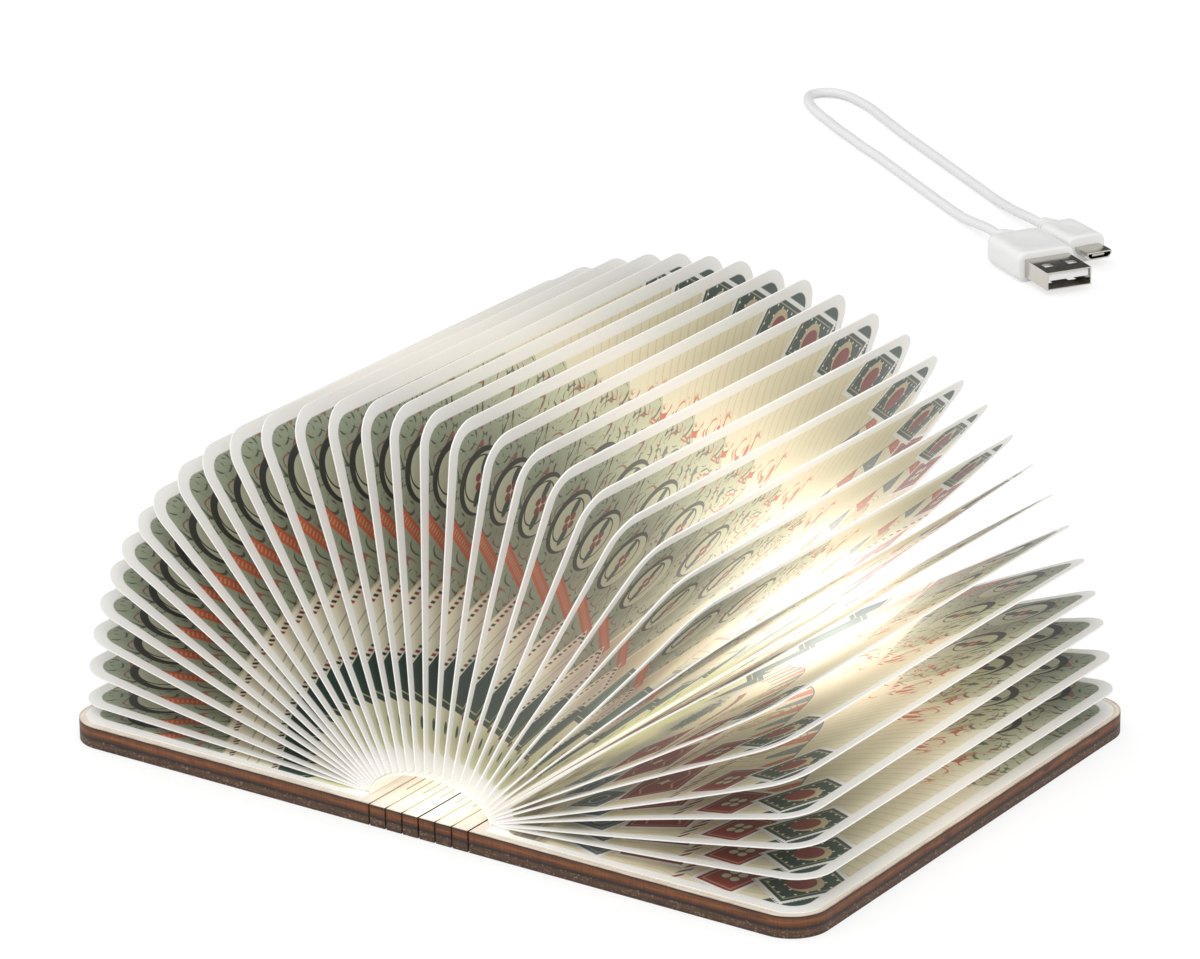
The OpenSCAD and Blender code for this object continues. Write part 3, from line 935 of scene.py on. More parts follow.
@dataclass(frozen=True)
class PrintedPaper:
    """Coated white paper with the page print, lit from the lamp inside the book.

    Attributes:
        name: the material's name.
        lit: strength of the lamp's light where it is strongest.
        washed_out: colour that the print fades towards where the light is strong.
    """

    name: str = "printed_paper"
    lit: float = 0.84
    washed_out: str = "#FCFBFA"

    def material(self) -> bpy.types.Material:
        """Makes the material, which reads the leaf's page map.

        Returns:
            The material.
        """
        made, pad, shader = new_material(self.name)
        page = pad.node("ShaderNodeUVMap", uv_map=PAGE_MAP).outputs[0]
        place = pad.node("ShaderNodeTexCoord").outputs["Object"]
        picture = pad.grouped(PagePrint().tree(), Page=page).outputs["Colour"]
        lit = pad.node("ShaderNodeAttribute", attribute_name=LIT_ATTRIBUTE).outputs["Fac"]
        lamp = pad.grouped(LampLight().tree(), Page=page, Place=place, Lit=lit)
        light = Value(pad, lamp.outputs["Light"])
        fibre = pad.noise(place, 1400.0, 3.0, 0.7)
        pad.feed(shader.inputs["Base Color"], pad.scaled(picture, fibre.ramp(0.1, 0.9) * 0.04 + 0.97))
        pad.feed(shader.inputs["Roughness"], 0.42 + fibre * 0.12)
        glow = pad.mix(light.ramp(0.25, 0.8) * 0.55 + 0.35, picture, linear(self.washed_out))
        pad.feed(shader.inputs["Emission Color"], pad.scaled(glow, light))
        shader.inputs["Emission Strength"].default_value = self.lit
        pad.relief(shader, fibre, 0.12, 0.03 * MM)
        return made


class MouldMarks(EffectGroup):
    """Fine texture of a moulded or plated skin: a slow change of tone, pores and handling marks."""

    name = "mould_marks"
    inputs = (("Place", "Vector"), ("Colour", "Color"), ("Wear", "Float"))
    outputs = (("Colour", "Color"), ("Roughness", "Float"), ("Height", "Float"))

    def fill(self, pad: NodePad, given: bpy.types.NodeOutputs) -> dict[str, object]:
        """Darkens the colour by tone, pores and marks, and changes its roughness by the marks.

        Args:
            pad: the group's tree.
            given: the group's inputs.

        Returns:
            Colour, change of roughness and height.
        """
        wear = Value(pad, given["Wear"])
        tone = pad.noise(given["Place"], 90.0, 2.0)
        pores = pad.noise(given["Place"], 5200.0, 2.0, 0.7)
        marks = pad.noise(given["Place"], 700.0, 4.0, 0.7)
        dark = tone.ramp(0.3, 0.8) * 0.35 + pores.ramp(0.4, 0.8) * 0.3 + marks.ramp(0.5, 0.8) * 0.35
        return {"Colour": pad.scaled(given["Colour"], 1.0 - dark * wear),
                "Roughness": marks.ramp(0.3, 0.8) * 0.16 - 0.05,
                "Height": pores * 0.6 + marks * 0.4}


@dataclass(frozen=True)
class Skin:
    """A moulded, plated or glowing surface with fine marks.

    Attributes:
        name: the material's name.
        colour: its colour on screen.
        roughness: its mean roughness.
        metallic: 1 for bare or plated metal.
        wear: how much the marks darken it.
        glow: strength of its light, which for the tray and the root strip is painted lamp light.
        glow_colour: colour of that light.
        coat: weight of a clear gloss over it.
    """

    name: str
    colour: str
    roughness: float
    metallic: float = 0.0
    wear: float = 0.08
    glow: float = 0.0
    glow_colour: str = "#FFF4DC"
    coat: float = 0.0

    def material(self) -> bpy.types.Material:
        """Makes the material.

        Returns:
            The material.
        """
        made, pad, shader = new_material(self.name)
        place = pad.node("ShaderNodeTexCoord").outputs["Object"]
        marks = pad.grouped(MouldMarks().tree(), Place=place, Colour=linear(self.colour),
                            Wear=self.wear)
        pad.feed(shader.inputs["Base Color"], marks.outputs["Colour"])
        pad.feed(shader.inputs["Roughness"], Value(pad, marks.outputs["Roughness"]) + self.roughness)
        shader.inputs["Metallic"].default_value = self.metallic
        shader.inputs["Coat Weight"].default_value = self.coat
        pad.relief(shader, marks.outputs["Height"], 0.1, 0.02 * MM)
        if self.glow:
            shader.inputs["Emission Color"].default_value = linear(self.glow_colour)
            shader.inputs["Emission Strength"].default_value = self.glow
        return made


def new_material(name: str) -> tuple[bpy.types.Material, NodePad, bpy.types.Node]:
    """Starts a material.

    Args:
        name: its name.

    Returns:
        The material, its node pad and its Principled shader.
    """
    made = bpy.data.materials.new(name)
    made.use_nodes = True
    return made, NodePad(made.node_tree), made.node_tree.nodes["Principled BSDF"]


class Finish(Enum):
    """Every finish of the lamp."""

    PLYWOOD = Plywood()
    PAGE = PrintedPaper()
    # The root strip and the tray glow with painted lamp light; the diffuser and the light chips are the
    # lamp itself.
    STRIP = Skin("warm_lit_paper", "#F4F1EA", 0.7, glow=0.22, glow_colour="#FFF9EA")
    TRAY = Skin("white_tray_plastic_painted_glow", "#EDEBE6", 0.45, glow=0.3)
    DIFFUSER = Skin("opal_diffuser", "#F6F1E4", 0.5, glow=1.8)
    CHIPS = Skin("lit_light_chips", "#F3E7B5", 0.4, glow=3.0)
    BOARD = Skin("green_circuit_board", "#2E5B3C", 0.45, wear=0.3)
    BATTERY = Skin("battery_foil", "#B9BCC0", 0.35, metallic=0.6, wear=0.2)
    SWITCH = Skin("dark_switch_plastic", "#2C2D2E", 0.5, wear=0.2)
    NICKEL = Skin("nickel_plate", "#C4C1BA", 0.25, metallic=1.0, wear=0.15)
    STEEL = Skin("bright_plug_steel", "#C9C5BD", 0.17, metallic=1.0, wear=0.12)
    PLUG = Skin("white_plug_plastic", "#EDEDEC", 0.38, coat=0.15)
    JACKET = Skin("white_lead_jacket", "#E9E9EA", 0.42, coat=0.1)

    @functools.cache
    def material(self) -> bpy.types.Material:
        """The finish's material, made when it is first asked for."""
        return self.value.material()

    def dress(self, piece: bpy.types.Object) -> None:
        """Puts the finish all over a piece."""
        piece.data.materials.clear()
        piece.data.materials.append(self.material())


def new_piece(name: str, points: Sequence[Sequence[float]],
              faces: Sequence[Sequence[int]]) -> bpy.types.Object:
    """Makes a mesh piece.

    Args:
        name: the piece's name.
        points: corners, in metres.
        faces: corner numbers of each face.

    Returns:
        The piece, in the scene.
    """
    mesh = bpy.data.meshes.new(name)
    mesh.from_pydata([tuple(p) for p in points], [], [tuple(f) for f in faces])
    mesh.update()
    made = bpy.data.objects.new(name, mesh)
    bpy.context.scene.collection.objects.link(made)
    return made


def smooth(piece: bpy.types.Object, crease: float = CREASE) -> None:
    """Shades a piece smooth, except over sharp edges.

    Args:
        piece: the piece.
        crease: angle in degrees over which an edge stays sharp.
    """
    mesh = piece.data
    mesh.polygons.foreach_set("use_smooth", [True] * len(mesh.polygons))
    mesh.set_sharp_from_angle(angle=math.radians(crease))


def cad(name: str) -> bpy.types.Object:
    """Object of a CAD node."""
    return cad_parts[name]


def soften(name: str, width: float, finish: Finish) -> None:
    """Rounds the edges of a CAD node by modifiers and gives it a finish.

    Args:
        name: the node.
        width: width of the rounding, in metres.
        finish: its finish.
    """
    piece = cad(name)
    piece.modifiers.new("one_skin", "WELD").merge_threshold = TOUCH
    bevel = piece.modifiers.new("soft_edges", "BEVEL")
    bevel.width, bevel.segments = width, 2
    bevel.limit_method, bevel.angle_limit = "ANGLE", math.radians(CREASE)
    bevel.harden_normals = False
    finish.dress(piece)


@dataclass
class Book:
    """Sizes that several parts of the book share, in metres.

    Attributes:
        depth: length of the covers along the spine.
        board: thickness of the covers.
        kerf_pitch: spacing of the spine cuts.
        leaf_length: from a leaf's root to its outer edge.
        leaf_depth: length of a leaf along the spine.
        leaf_corner: radius of its outer corners.
        leaf_count: number of standing leaves.
        leaf_step: angle between two leaves, in degrees.
        arch_half: half width of the arch on which the leaves turn.
        arch_rise: height of that arch.
        arch_base: height of its feet above the table.
        paper_half: half width of the arch of paper that the leaves start from.
        paper_rise: height of that arch.
        bodies: bodies of the covers and slats, from left to right.
    """

    depth: float = 122 * MM
    board: float = 4.4 * MM
    kerf_pitch: float = 3.9 * MM
    leaf_length: float = 72 * MM
    leaf_depth: float = 114.4 * MM
    leaf_corner: float = 6.5 * MM
    leaf_count: int = 34
    leaf_step: float = 5.28
    arch_half: float = 15.3 * MM
    arch_rise: float = 7.6 * MM
    arch_base: float = 4.6 * MM
    paper_half: float = 14.4 * MM
    paper_rise: float = 6.75 * MM
    bodies: tuple[str, ...] = ("left_cover", "spine_slat_1", "spine_slat_2", "spine", "spine_slat_5",
                               "spine_slat_6", "right_cover")

    def leaf_angle(self, number: int) -> float:
        """Angle of a leaf from +X, in radians, counted from the left cover."""
        return math.radians(90 + ((self.leaf_count + 1) / 2 - number) * self.leaf_step)

    def axis(self, angle: float) -> tuple[float, float]:
        """Turning axis of a leaf at an angle, as x and z."""
        return self.arch_half * math.cos(angle), self.arch_base + self.arch_rise * math.sin(angle)

    def on_paper_arch(self, angle: float, inset: float = 0.0) -> tuple[float, float]:
        """Finds where a leaf starts on the arch of paper.

        The leaves stand further apart on top of the arch, and closer at both of its feet.

        Args:
            angle: the leaf's angle.
            inset: how far the point is drawn in from the arch.

        Returns:
            The point, as x and z.
        """
        spread = math.pi / 2 * (1 - math.cos(angle))
        return ((self.paper_half - inset) * math.cos(spread),
                self.arch_base + (self.paper_rise - inset) * math.sin(spread))


@dataclass
class Covers:
    """Both covers and the slats between them, with the wood that fills each cut to a thin line.

    Attributes:
        book: the shared sizes.
        kerf_half: half width of that line.
        cut_half_mid: half width of the unfilled cut at mid height.
        cut_half_face: half width of the unfilled cut at the faces.
        sunk: how far the added wood reaches into the board.
        squashed: share of its width meant for the added wood when the book is folded; not used.
        cuts: places of the cuts, in pitches from the middle.
    """

    book: Book
    kerf_half: float = 0.2 * MM
    cut_half_mid: float = 0.1 * MM
    cut_half_face: float = 0.6895 * MM
    sunk: float = 0.03 * MM
    squashed: float = 0.02
    cuts: tuple[int, ...] = (-3, -2, -1, 1, 2, 3)

    def build(self) -> None:
        """Dresses the boards and adds the lips of each cut."""
        bodies = self.book.bodies
        for body in bodies:
            Finish.PLYWOOD.dress(cad("spine_core" if body == "spine" else body))
        for number, cut in enumerate(self.cuts):
            for side, body in ((-1, bodies[number]), (1, bodies[number + 1])):
                self.lip(cut * self.book.kerf_pitch, side, body, number + 1)
        log.info("covers and %d cut lips", 2 * len(self.cuts))

    def lip(self, x: float, side: int, body: str, number: int) -> None:
        """Wedge of wood that narrows one side of a cut above and below its middle.

        Args:
            x: middle of the cut.
            side: 1 for the side towards the right cover, -1 for the other.
            body: the body that the wedge belongs to.
            number: the cut's number from the left.
        """
        mid, half = self.book.board / 2, self.book.depth / 2
        slope = (self.cut_half_face - self.cut_half_mid) / mid
        start = (self.kerf_half - self.cut_half_mid) / slope
        points, faces = [], []
        for up in (-1, 1):
            section = [(self.kerf_half, mid + up * mid), (self.cut_half_face + self.sunk, mid + up * mid),
                       (self.kerf_half + self.sunk, mid + up * start), (self.kerf_half, mid + up * start)]
            base = len(points)
            points += [(x + side * dx, y, z) for y in (-half, half) for dx, z in section]
            ring = [0, 1, 2, 3] if up * side > 0 else [3, 2, 1, 0]
            faces.append([base + i for i in ring])
            faces.append([base + 4 + i for i in reversed(ring)])
            faces += [[base + a, base + 4 + a, base + 4 + b, base + b]
                      for a, b in zip(ring, ring[1:] + ring[:1])]
        piece = new_piece(f"cut_{number}_lip_{'right' if side > 0 else 'left'}", points, faces)
        Finish.PLYWOOD.dress(piece)
        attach(piece, body)
        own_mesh(piece)


@dataclass
class LeafFan:
    """The standing leaves and the two end sheets, each a thin sheet with the page print.

    Attributes:
        book: the shared sizes.
        thick: thickness of a leaf.
        end_thick: thickness of an end sheet.
        end_start: where an end sheet starts, from the middle of the book.
        end_stop: where it stops.
        end_half: half of its depth.
        corner_steps: number of steps round a corner.
        lift: height of the roots over the arch of paper.
        bend: largest bow of a leaf.
        keep: share of its bow and lean meant for a leaf when the book is folded; not used.
        seed: start of the random numbers for the bows.
        rows: number of steps from the root to the corners.
        columns: places of the points in each row, as shares of the half depth.
        leans: how far the outer edge leans towards the right, in millimetres, by the leaf's angle.
        lights: how much of the lamp's light falls on a leaf, by its angle.
        end_light: how much of it falls on an end sheet.
    """

    book: Book
    thick: float = 0.3 * MM
    end_thick: float = 0.2 * MM
    end_start: float = 14.5 * MM
    end_stop: float = 86.3 * MM
    end_half: float = 59.2 * MM
    corner_steps: int = 7
    lift: float = 0.25 * MM
    bend: float = 0.5 * MM
    keep: float = 0.05
    seed: int = 11
    rows: int = 9
    columns: tuple[float, ...] = (-1.0, -0.97, -0.9, -0.6, -0.3, 0.0, 0.3, 0.6, 0.9, 0.97, 1.0)
    leans: tuple[tuple[float, float], ...] = (
        (0, -2.4), (20, 0.4), (45, 1.8), (65, 3.3), (85, 3.1), (95, 4.0), (105, 5.4), (115, 4.5),
        (128, 1.2), (138, -1.0), (180, -1.4))
    lights: tuple[tuple[float, float], ...] = (
        (0, 0.12), (15, 0.18), (25, 0.38), (35, 0.62), (50, 0.8), (62, 0.85), (75, 0.55), (90, 0.2),
        (105, 0.1), (150, 0.06), (180, 0.06))
    end_light: float = 0.25

    def build(self) -> None:
        """Makes every leaf and both end sheets."""
        chance = random.Random(self.seed)
        for number in range(1, self.book.leaf_count + 1):
            self.leaf(number, chance.uniform(-1, 1), chance.uniform(-1, 1))
        for side, node in ((1, "right_end_sheet"), (-1, "left_end_sheet")):
            self.end_sheet(side, node)
        log.info("%d leaves and 2 end sheets", self.book.leaf_count)

    def stations(self, length: float, half: float) -> list[tuple[float, float]]:
        """Walks from the root of a sheet round its outer corners.

        Args:
            length: from its root to its outer edge.
            half: half of its depth.

        Returns:
            Distances from the root, each with half of the depth there.
        """
        r = self.book.leaf_corner
        straight = [(length - r) * i / self.rows for i in range(self.rows + 1)]
        made = [(s, half) for s in straight]
        for i in range(1, self.corner_steps + 1):
            a = math.pi / 2 * i / self.corner_steps
            made.append((length - r + r * math.sin(a), half - r + r * math.cos(a)))
        return made

    def sheet(self, name: str, length: float, half: float, thick: float, lit: float,
              place: Callable[[float, float, float], Point]) -> bpy.types.Object:
        """Makes one printed sheet.

        Args:
            name: the piece's name.
            length: from its root to its outer edge.
            half: half of its depth.
            thick: its thickness.
            lit: how much of the lamp's light falls on it.
            place: gives the point at a distance from the root, a depth and a height off the middle.

        Returns:
            The piece, with its page map and its light.
        """
        stations = self.stations(length, half)
        wide = len(self.columns)
        spots = [(s, share * reach) for s, reach in stations for share in self.columns]
        layer = len(spots)
        points = [place(s, y, h) for h in (-thick / 2, thick / 2) for s, y in spots]
        faces, sides = [], []
        for i in range(len(stations) - 1):
            for j in range(wide - 1):
                a, b = i * wide + j, (i + 1) * wide + j
                faces.append((a, a + 1, b + 1, b))
                faces.append((layer + a, layer + b, layer + b + 1, layer + a + 1))
                sides += [-1, 1]
        last = (len(stations) - 1) * wide
        rim = list(range(0, last, wide)) + list(range(last, last + wide))
        rim += list(range(last - 1, 0, -wide)) + list(range(wide - 2, 0, -1))
        for a, b in zip(rim, rim[1:] + rim[:1]):
            faces.append((a, b, layer + b, layer + a))
            sides.append(-1)
        piece = new_piece(name, points, faces)
        page = piece.data.uv_layers.new(name=PAGE_MAP)
        for polygon, side in zip(piece.data.polygons, sides):
            for loop in polygon.loop_indices:
                s, y = spots[piece.data.loops[loop].vertex_index % layer]
                page.data[loop].uv = (s / length, (half - side * y) / (2 * half))
        light = piece.data.attributes.new(LIT_ATTRIBUTE, "FLOAT", "POINT")
        light.data.foreach_set("value", [lit] * len(points))
        smooth(piece)
        Finish.PAGE.dress(piece)
        return piece

    @staticmethod
    def between(table: Sequence[tuple[float, float]], angle: float) -> float:
        """Reads a table of values by a leaf's angle.

        Args:
            table: pairs of an angle in degrees and a value, by rising angle.
            angle: the leaf's angle in radians.

        Returns:
            The value, in a straight line between the two nearest angles.
        """
        degrees = math.degrees(angle)
        for (a, first), (b, second) in zip(table, table[1:]):
            if degrees <= b:
                return first + (second - first) * (degrees - a) / (b - a)
        return table[-1][1]

    def leaf(self, number: int, bend: float, twist: float) -> None:
        """Makes one leaf.

        Args:
            number: the leaf's number from the left cover.
            bend: how far its middle bows, from -1 to 1.
            twist: how far its outer edge turns from near to far, from -1 to 1.
        """
        angle = self.book.leaf_angle(number)
        axis, up = self.book.axis(angle), (-math.sin(angle), math.cos(angle))
        root = Vector(self.book.on_paper_arch(angle)) + Vector((0, self.lift))
        flat_tip = Vector(axis) + Vector((math.cos(angle), math.sin(angle))) * self.book.leaf_length
        out = flat_tip - Vector(up) * (self.between(self.leans, angle) * MM) - root
        side = Vector((-out.y, out.x)).normalized()

        def place(s: float, y: float, h: float) -> Point:
            """Places a point of the leaf, bowed along its length.

            Args:
                s: distance from the root.
                y: place along the spine.
                h: height off the middle of the sheet.

            Returns:
                The point.
            """
            share = s / self.book.leaf_length
            uneven = twist * share * 2 * y / self.book.leaf_depth
            bow = self.bend * (bend * math.sin(math.pi * share) + uneven)
            spot = root + out * share + side * (h + bow)
            return (spot.x, y, spot.y)

        name = f"leaf_{number:02d}"
        piece = self.sheet("paper_" + name, self.book.leaf_length, self.book.leaf_depth / 2, self.thick,
                           self.between(self.lights, angle), place)
        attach(piece, name)
        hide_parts(name)
        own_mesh(piece)

    def end_sheet(self, side: int, node: str) -> None:
        """Makes the sheet glued to a cover.

        Args:
            side: 1 for the right cover, -1 for the left.
            node: the CAD node that it stands for.
        """
        middle = self.book.board + self.end_thick / 2

        def place(s: float, y: float, h: float) -> Point:
            """Point of the sheet, which is mirrored from one cover to the other."""
            return (side * (self.end_start + s), y, middle + side * h)

        piece = self.sheet("paper_" + node, self.end_stop - self.end_start, self.end_half, self.end_thick,
                           self.end_light, place)
        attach(piece, node.replace("end_sheet", "cover"))
        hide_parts(node)


@dataclass
class RootStrip:
    """Paper arch under the leaf roots, made in lengths.

    Attributes:
        book: the shared sizes.
        inset: how far it lies inside the arch that the leaves start from.
        thick: its thickness.
        steps: number of steps in one length.
        lengths: number of lengths.
    """

    book: Book
    inset: float = 0.15 * MM
    thick: float = 0.2 * MM
    steps: int = 10
    lengths: int = 6

    def build(self) -> None:
        """Makes the lengths."""
        for number in range(self.lengths):
            self.length(number)
        log.info("root strip in %d lengths", self.lengths)

    def length(self, number: int) -> None:
        """Makes one length of the arch.

        Args:
            number: which one, counted from the right cover.
        """
        start, stop = (math.radians(180 * edge / self.lengths) for edge in (number, number + 1))
        bodies = self.book.bodies[::-1]
        half = self.book.leaf_depth / 2
        points, faces = [], []
        for i in range(self.steps + 1):
            angle = start + (stop - start) * i / self.steps
            for inset in (self.inset, self.inset + self.thick):
                x, z = self.book.on_paper_arch(angle, inset)
                points += [(x, -half, z), (x, half, z)]
        for i in range(self.steps):
            a, b = 4 * i, 4 * i + 4
            faces += [(a, a + 1, b + 1, b), (a + 2, b + 2, b + 3, a + 3), (a, b, b + 2, a + 2),
                      (a + 1, a + 3, b + 3, b + 1)]
        e = 4 * self.steps
        faces += [(0, 2, 3, 1), (e, e + 1, e + 3, e + 2)]
        piece = new_piece(f"root_strip_{number + 1}", points, faces)
        smooth(piece)
        Finish.STRIP.dress(piece)
        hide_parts("root_strip")
        first, last = self.book.on_paper_arch(start, self.inset), self.book.on_paper_arch(stop, self.inset)
        bodies[number + 1]
        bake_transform(piece)


@dataclass
class LightUnit:
    """The lamp inside the arch, its socket and the magnets in the covers.

    Attributes:
        plan: finish of each CAD node and the width of its rounded edges.
    """

    plan: tuple[tuple[str, Finish, float], ...] = (
        ("light_tray", Finish.TRAY, 0.25 * MM),
        ("diffuser", Finish.DIFFUSER, 0.1 * MM),
        ("circuit_board", Finish.BOARD, 0.05 * MM),
        ("battery", Finish.BATTERY, 0.1 * MM),
        ("light_chips", Finish.CHIPS, 0.1 * MM),
        ("charging_socket", Finish.NICKEL, 0.06 * MM),
        ("magnet_switch", Finish.SWITCH, 0.1 * MM),
        ("right_magnets", Finish.NICKEL, 0.2 * MM),
        ("left_magnets", Finish.NICKEL, 0.2 * MM))

    def build(self) -> None:
        """Softens and dresses the CAD nodes of the light unit and the magnets."""
        for name, finish, width in self.plan:
            soften(name, width, finish)
        log.info("light unit and magnets")


@dataclass(frozen=True)
class Plug:
    """Grip of one plug.

    Attributes:
        name: the CAD node that it stands for.
        turn: the way that it points, in degrees from +X.
        width: its width.
        thick: its thickness.
        length: its length without the neck.
    """

    name: str
    turn: float
    width: float
    thick: float
    length: float


@dataclass
class ChargingLead:
    """The short white lead with a large flat plug and a small one.

    Attributes:
        diameter: the cord's thickness.
        rest: height of its middle where it lies on the table.
        route: its points in millimetres, some of them with a height of their own.
        large: grip at its start.
        small: grip at its end.
        neck: length of a grip's ribbed neck.
        neck_core: thickness of the neck between its ribs.
        neck_start: thickness of its first rib.
        ribs: number of ribs.
        rib: outline of a rib, as a place in its pitch and a share of its height.
        shoulder: outline of the shoulder, as millimetres from its start and a share that is cut away.
        nose: outline of the nose, as millimetres from its end and millimetres that are cut away.
        corner: largest radius along a grip.
        crease: angle in degrees over which an edge stays sharp.
        dish: depth of the dish in both flats of a grip.
        dish_at: place of the dish, as a share of the grip's length.
        dish_half: half of its sides, as a share of the grip's.
        grip_steps: number of steps along a grip.
        corner_steps: number of steps round a corner.
        flat_steps: number of steps over a flat.
        hair: least flat that a corner leaves.
    """

    diameter: float = 2.5 * MM
    rest: float = 1.25 * MM
    route: Sequence[tuple[float, ...]] = (
        (-87, 302, 3.8), (-92.5, 305.5, 3.8), (-98.5, 310, 2.8), (-104.5, 314.5, 1.8), (-110.5, 319),
        (-117, 323.5), (-124, 328.5), (-131, 333.5), (-138, 338.5), (-145, 343.5), (-152, 348.5),
        (-159, 353), (-166, 358), (-172.5, 362.5), (-179, 367.5), (-185, 372), (-190, 376.5),
        (-194, 381), (-195.5, 385.5), (-193, 389), (-188, 389.5), (-182, 387), (-176, 383.5),
        (-170, 379), (-163.5, 374), (-157, 369), (-150, 364), (-143, 359), (-136, 354), (-129, 349),
        (-122, 344), (-115, 339), (-108, 334), (-101, 328.5, 1.9), (-95, 323.5, 2.8),
        (-89, 319.5, 3.4), (-83.5, 316.5, 3.4))
    large: Plug = Plug("large_plug_grip", -32, 15.4 * MM, 7.6 * MM, 18 * MM)
    small: Plug = Plug("small_plug_grip", -29, 10.4 * MM, 6.8 * MM, 15 * MM)
    neck: float = 6 * MM
    neck_core: float = 3.4 * MM
    neck_start: float = 4.2 * MM
    ribs: int = 4
    rib: tuple[tuple[float, float], ...] = (
        (0.0, 0.006), (0.07, 0.716), (0.14, 1.0), (0.5, 1.0), (0.57, 0.716), (0.62, 0.006), (0.66, 0.0),
        (0.97, 0.0))
    shoulder: tuple[tuple[float, float], ...] = (
        (0.0, 0.42), (0.1, 0.26), (0.4, 0.14), (0.9, 0.06), (1.6, 0.015), (2.4, 0.0))
    nose: tuple[tuple[float, float], ...] = ((0.8, 0.0), (0.3, 0.1), (0.08, 0.3), (0.0, 0.55))
    corner: float = 2.2 * MM
    crease: float = 38.0
    dish: float = 0.32 * MM
    dish_at: float = 0.52
    dish_half: float = 0.3
    grip_steps: int = 12
    corner_steps: int = 5
    flat_steps: int = 7
    hair: float = 0.01 * MM

    def build(self) -> None:
        """Makes the cord, both grips and the finish of the shells."""
        start, *_, end = self.points()
        grips = [self.grip(self.large, start), self.grip(self.small, end)]
        for name, width, finish in (("large_plug_shell", 0.16 * MM, Finish.STEEL),
                                    ("small_plug_shell", 0.1 * MM, Finish.STEEL),
                                    ("large_plug_tongue", 0.15 * MM, Finish.PLUG)):
            soften(name, width, finish)
        cord = self.cord()
        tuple(self.points()[0])
        round(self.run(), 4)
        log.info("charging lead, %.3f m of cord", self.run())

    def points(self) -> list[Point]:
        """Points of the route in metres, on the table where no height is given."""
        return [(p[0] * MM, p[1] * MM, p[2] * MM if len(p) > 2 else self.rest) for p in self.route]

    def run(self) -> float:
        """Length of the route."""
        points = [Vector(p) for p in self.points()]
        return sum((b - a).length for a, b in zip(points, points[1:]))

    def cord(self) -> bpy.types.Object:
        """Makes the cord as a round curve through the route's points.

        Returns:
            The cord.
        """
        curve = bpy.data.curves.new("charging_lead", "CURVE")
        curve.dimensions = "3D"
        curve.bevel_depth, curve.bevel_resolution = self.diameter / 2, 6
        curve.resolution_u, curve.use_fill_caps = 6, True
        points = self.points()
        spline = curve.splines.new("BEZIER")
        spline.bezier_points.add(len(points) - 1)
        for knot, point in zip(spline.bezier_points, points):
            knot.co = point
            knot.handle_left_type = knot.handle_right_type = "AUTO"
        piece = bpy.data.objects.new("charging_lead", curve)
        bpy.context.scene.collection.objects.link(piece)
        Finish.JACKET.dress(piece)
        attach(piece, "right_cover")
        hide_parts("charging_cord")
        return piece

    def ring(self, x: float, width: float, thick: float, radius: float) -> list[Point]:
        """Rounded rectangle square to the plug, with points along its flats.

        Args:
            x: its place along the plug.
            width: its width.
            thick: its height.
            radius: radius of its corners.

        Returns:
            Its points, round once.
        """
        radius = min(radius, width / 2 - self.hair, thick / 2 - self.hair)
        cy, cz = width / 2 - radius, thick / 2 - radius
        made = []
        for quarter, (sy, sz) in enumerate(((1, 1), (-1, 1), (-1, -1), (1, -1))):
            for i in range(self.corner_steps + 1):
                a = math.pi / 2 * (quarter + i / self.corner_steps)
                made.append((x, sy * cy + radius * math.cos(a), sz * cz + radius * math.sin(a)))
            if quarter % 2 == 0:
                made += [(x, sy * cy * (1 - 2 * i / self.flat_steps), sz * thick / 2)
                         for i in range(1, self.flat_steps)]
        return made

    def neck_stations(self, plug: Plug) -> list[Station]:
        """Walks along the ribbed neck, whose ribs grow towards the grip.

        Args:
            plug: the grip's sizes.

        Returns:
            Place, width, thickness and corner radius of each ring.
        """
        made = []
        for i in range(self.ribs):
            size = self.neck_start + i * (plug.thick - self.neck_start) / (self.ribs + 1)
            for share, swell in self.rib:
                wide = self.neck_core + (size - self.neck_core) * swell
                made.append((self.neck / self.ribs * (i + share), wide, wide, wide / 2))
        return made

    def body_stations(self, plug: Plug) -> list[Station]:
        """Walks from the shoulder of the grip to its nose.

        Args:
            plug: the grip's sizes.

        Returns:
            Place, width, thickness and corner radius of each ring.
        """
        corner = min(plug.thick * 0.3, self.corner)
        made = [(self.neck + dx * MM, plug.width * (1 - slim * 0.9), plug.thick * (1 - slim * 0.75), corner)
                for dx, slim in self.shoulder]
        start, stop = self.shoulder[-1][0] * MM, self.nose[0][0] * MM
        for i in range(1, self.grip_steps):
            along = start + (plug.length - start - stop) * i / self.grip_steps
            made.append((self.neck + along, plug.width, plug.thick, corner))
        for dx, cut in self.nose:
            made.append((self.neck + plug.length - dx * MM, plug.width - 2 * cut * MM,
                         plug.thick - 2 * cut * MM, corner))
        return made

    def dished(self, point: Point, plug: Plug) -> Point:
        """Sinks a point that lies in the oval dish of either flat.

        Args:
            point: the point.
            plug: the grip's sizes.

        Returns:
            The point, sunk or as it was.
        """
        x, y, z = point
        if abs(abs(z) - plug.thick / 2) > TOUCH:
            return point
        middle = self.neck + plug.length * self.dish_at
        far = math.hypot((x - middle) / (plug.length * self.dish_half), y / (plug.width * self.dish_half))
        return x, y, z - math.copysign(self.dish, z) * max(0.0, 1 - far ** 6) ** 0.7

